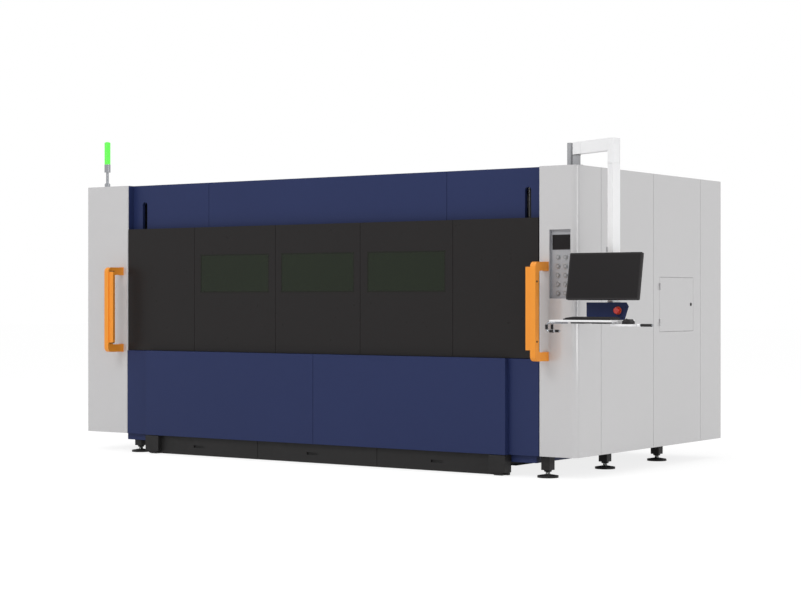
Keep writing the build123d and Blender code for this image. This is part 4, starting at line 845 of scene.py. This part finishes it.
class MACHINE_OT_stage(bpy.types.Operator):
    """Floor, light and camera"""

    bl_idname = "machine.stage"
    bl_label = "Stage"

    def execute(self, context):
        sizes = context.scene.machine_sizes
        context.scene.view_settings.view_transform = "Standard"
        self.floor(sizes.floor_size)
        self.world(context.scene)
        self.lights()
        self.camera(context.scene, sizes.lens_length)
        return {"FINISHED"}

    def floor(self, size):
        """A flat sheet, part matt and part glowing white for camera, glossy and transmission rays."""
        glow, strength = 0.7, 1.18
        half = size / 2
        mesh = bpy.data.meshes.new("floor")
        mesh.from_pydata([(-half, -half, 0), (half, -half, 0), (half, half, 0), (-half, half, 0)], [],
                         [(0, 1, 2, 3)])
        floor = bpy.data.objects.new("floor", mesh)
        bpy.context.scene.collection.objects.link(floor)
        material = bpy.data.materials.new("pale_floor")
        material.use_nodes = True
        tree = material.node_tree
        tree.nodes.clear()
        seen = seen_rays(tree)
        share = node(tree, "ShaderNodeMath", {0: seen, 1: glow}, operation="MULTIPLY").outputs[0]
        matt = node(tree, "ShaderNodeBsdfDiffuse", {"Color": paint("#F4F4F4")})
        bright = node(tree, "ShaderNodeEmission", {"Color": (1, 1, 1, 1), "Strength": strength})
        mix = node(tree, "ShaderNodeMixShader", {0: share, 1: matt.outputs[0], 2: bright.outputs[0]})
        node(tree, "ShaderNodeOutputMaterial", {"Surface": mix.outputs[0]})
        mesh.materials.append(material)

    def world(self, scene):
        """White where it is seen, and a plain even light otherwise."""
        ambient = 0.62
        world = bpy.data.worlds.new("studio")
        scene.world = world
        world.use_nodes = True
        tree = world.node_tree
        tree.nodes.clear()
        seen = seen_rays(tree)
        strength = node(tree, "ShaderNodeMapRange", {"Value": seen, "To Min": ambient, "To Max": 1.0})
        ground = node(tree, "ShaderNodeBackground", {
            "Color": (1, 1, 1, 1), "Strength": strength.outputs[0]})
        node(tree, "ShaderNodeOutputWorld", {"Surface": ground.outputs[0]})

    def lights(self):
        """Soft boxes high in front and above, and a broad level one at the right."""
        for name, place, target, size, power in (
            ("front_box", (-2.4, -9.0, 8.3), (-0.8, 0.0, 1.0), (5.0, 3.0), 360),
            ("side_box", (9.2, -0.7, 1.7), (0.3, 0.0, 1.4), (5.4, 2.6), 135),
            ("top_box", (-1.5, 0.5, 8.0), (-1.5, 0.5, 0.0), (7.0, 4.0), 140),
        ):
            light = bpy.data.lights.new(name, "AREA")
            light.shape = "RECTANGLE"
            light.size, light.size_y = size
            light.energy = power
            lamp = bpy.data.objects.new(name, light)
            lamp.location = place
            lamp.rotation_euler = aim(place, target)
            bpy.context.scene.collection.objects.link(lamp)

    def camera(self, scene, lens):
        """The photograph's view: level, from the right front, well back."""
        camera = bpy.data.objects.new("camera", bpy.data.cameras.new("camera"))
        camera.data.lens = lens
        camera.data.sensor_width = 36.0
        camera.location = (6.5105, -11.0776, 1.2345)
        camera.rotation_euler = (np.radians(90), 0, np.radians(34.997))
        scene.collection.objects.link(camera)
        scene.camera = camera


def seen_rays(tree):
    """One for camera, glossy and transmission rays, and nought for the light that falls on things."""
    path = node(tree, "ShaderNodeLightPath")
    first = node(tree, "ShaderNodeMath", {0: path.outputs["Is Camera Ray"],
                                          1: path.outputs["Is Glossy Ray"]}, operation="MAXIMUM")
    return node(tree, "ShaderNodeMath", {0: first.outputs[0], 1: path.outputs["Is Transmission Ray"]},
                operation="MAXIMUM").outputs[0]


def aim(place, target):
    """Angles that point a lamp at its target: tilt from straight down, then turn about z."""
    way = np.subtract(target, place)
    way /= np.linalg.norm(way)
    return np.arccos(-way[2]), 0, np.arctan2(-way[0], way[1])


class MACHINE_PT_sidebar(bpy.types.Panel):
    """The machine's steps and sizes in the sidebar."""

    bl_label = "Laser cutting machine"
    bl_space_type = "VIEW_3D"
    bl_region_type = "UI"
    bl_category = "Machine"

    def draw(self, context):
        for kind in OPERATORS:
            self.layout.operator(kind.bl_idname)
        for group in (context.scene.machine_looks, context.scene.machine_sizes):
            for name in group.bl_rna.properties.keys():
                if name not in ("rna_type", "name"):
                    self.layout.prop(group, name)


OPERATORS = (
    MACHINE_OT_stage, MACHINE_OT_finishes, MACHINE_OT_lamp, MACHINE_OT_feet, MACHINE_OT_guards,
    MACHINE_OT_door, MACHINE_OT_covers, MACHINE_OT_control_panel, MACHINE_OT_console, MACHINE_OT_boom,
    MACHINE_OT_gantry, MACHINE_OT_head,
)
CLASSES = (MachineLooks, MachineSizes) + OPERATORS + (MACHINE_PT_sidebar,)


def register():
    for kind in CLASSES:
        bpy.utils.register_class(kind)
    bpy.types.Scene.machine_looks = bpy.props.PointerProperty(type=MachineLooks)
    bpy.types.Scene.machine_sizes = bpy.props.PointerProperty(type=MachineSizes)


def unregister():
    del bpy.types.Scene.machine_looks
    del bpy.types.Scene.machine_sizes
    for kind in reversed(CLASSES):
        bpy.utils.unregister_class(kind)


def main():
    register()
    for kind in OPERATORS:
        group, name = kind.bl_idname.split(".")
        getattr(getattr(bpy.ops, group), name)()


if __name__ == "__main__":
    main()
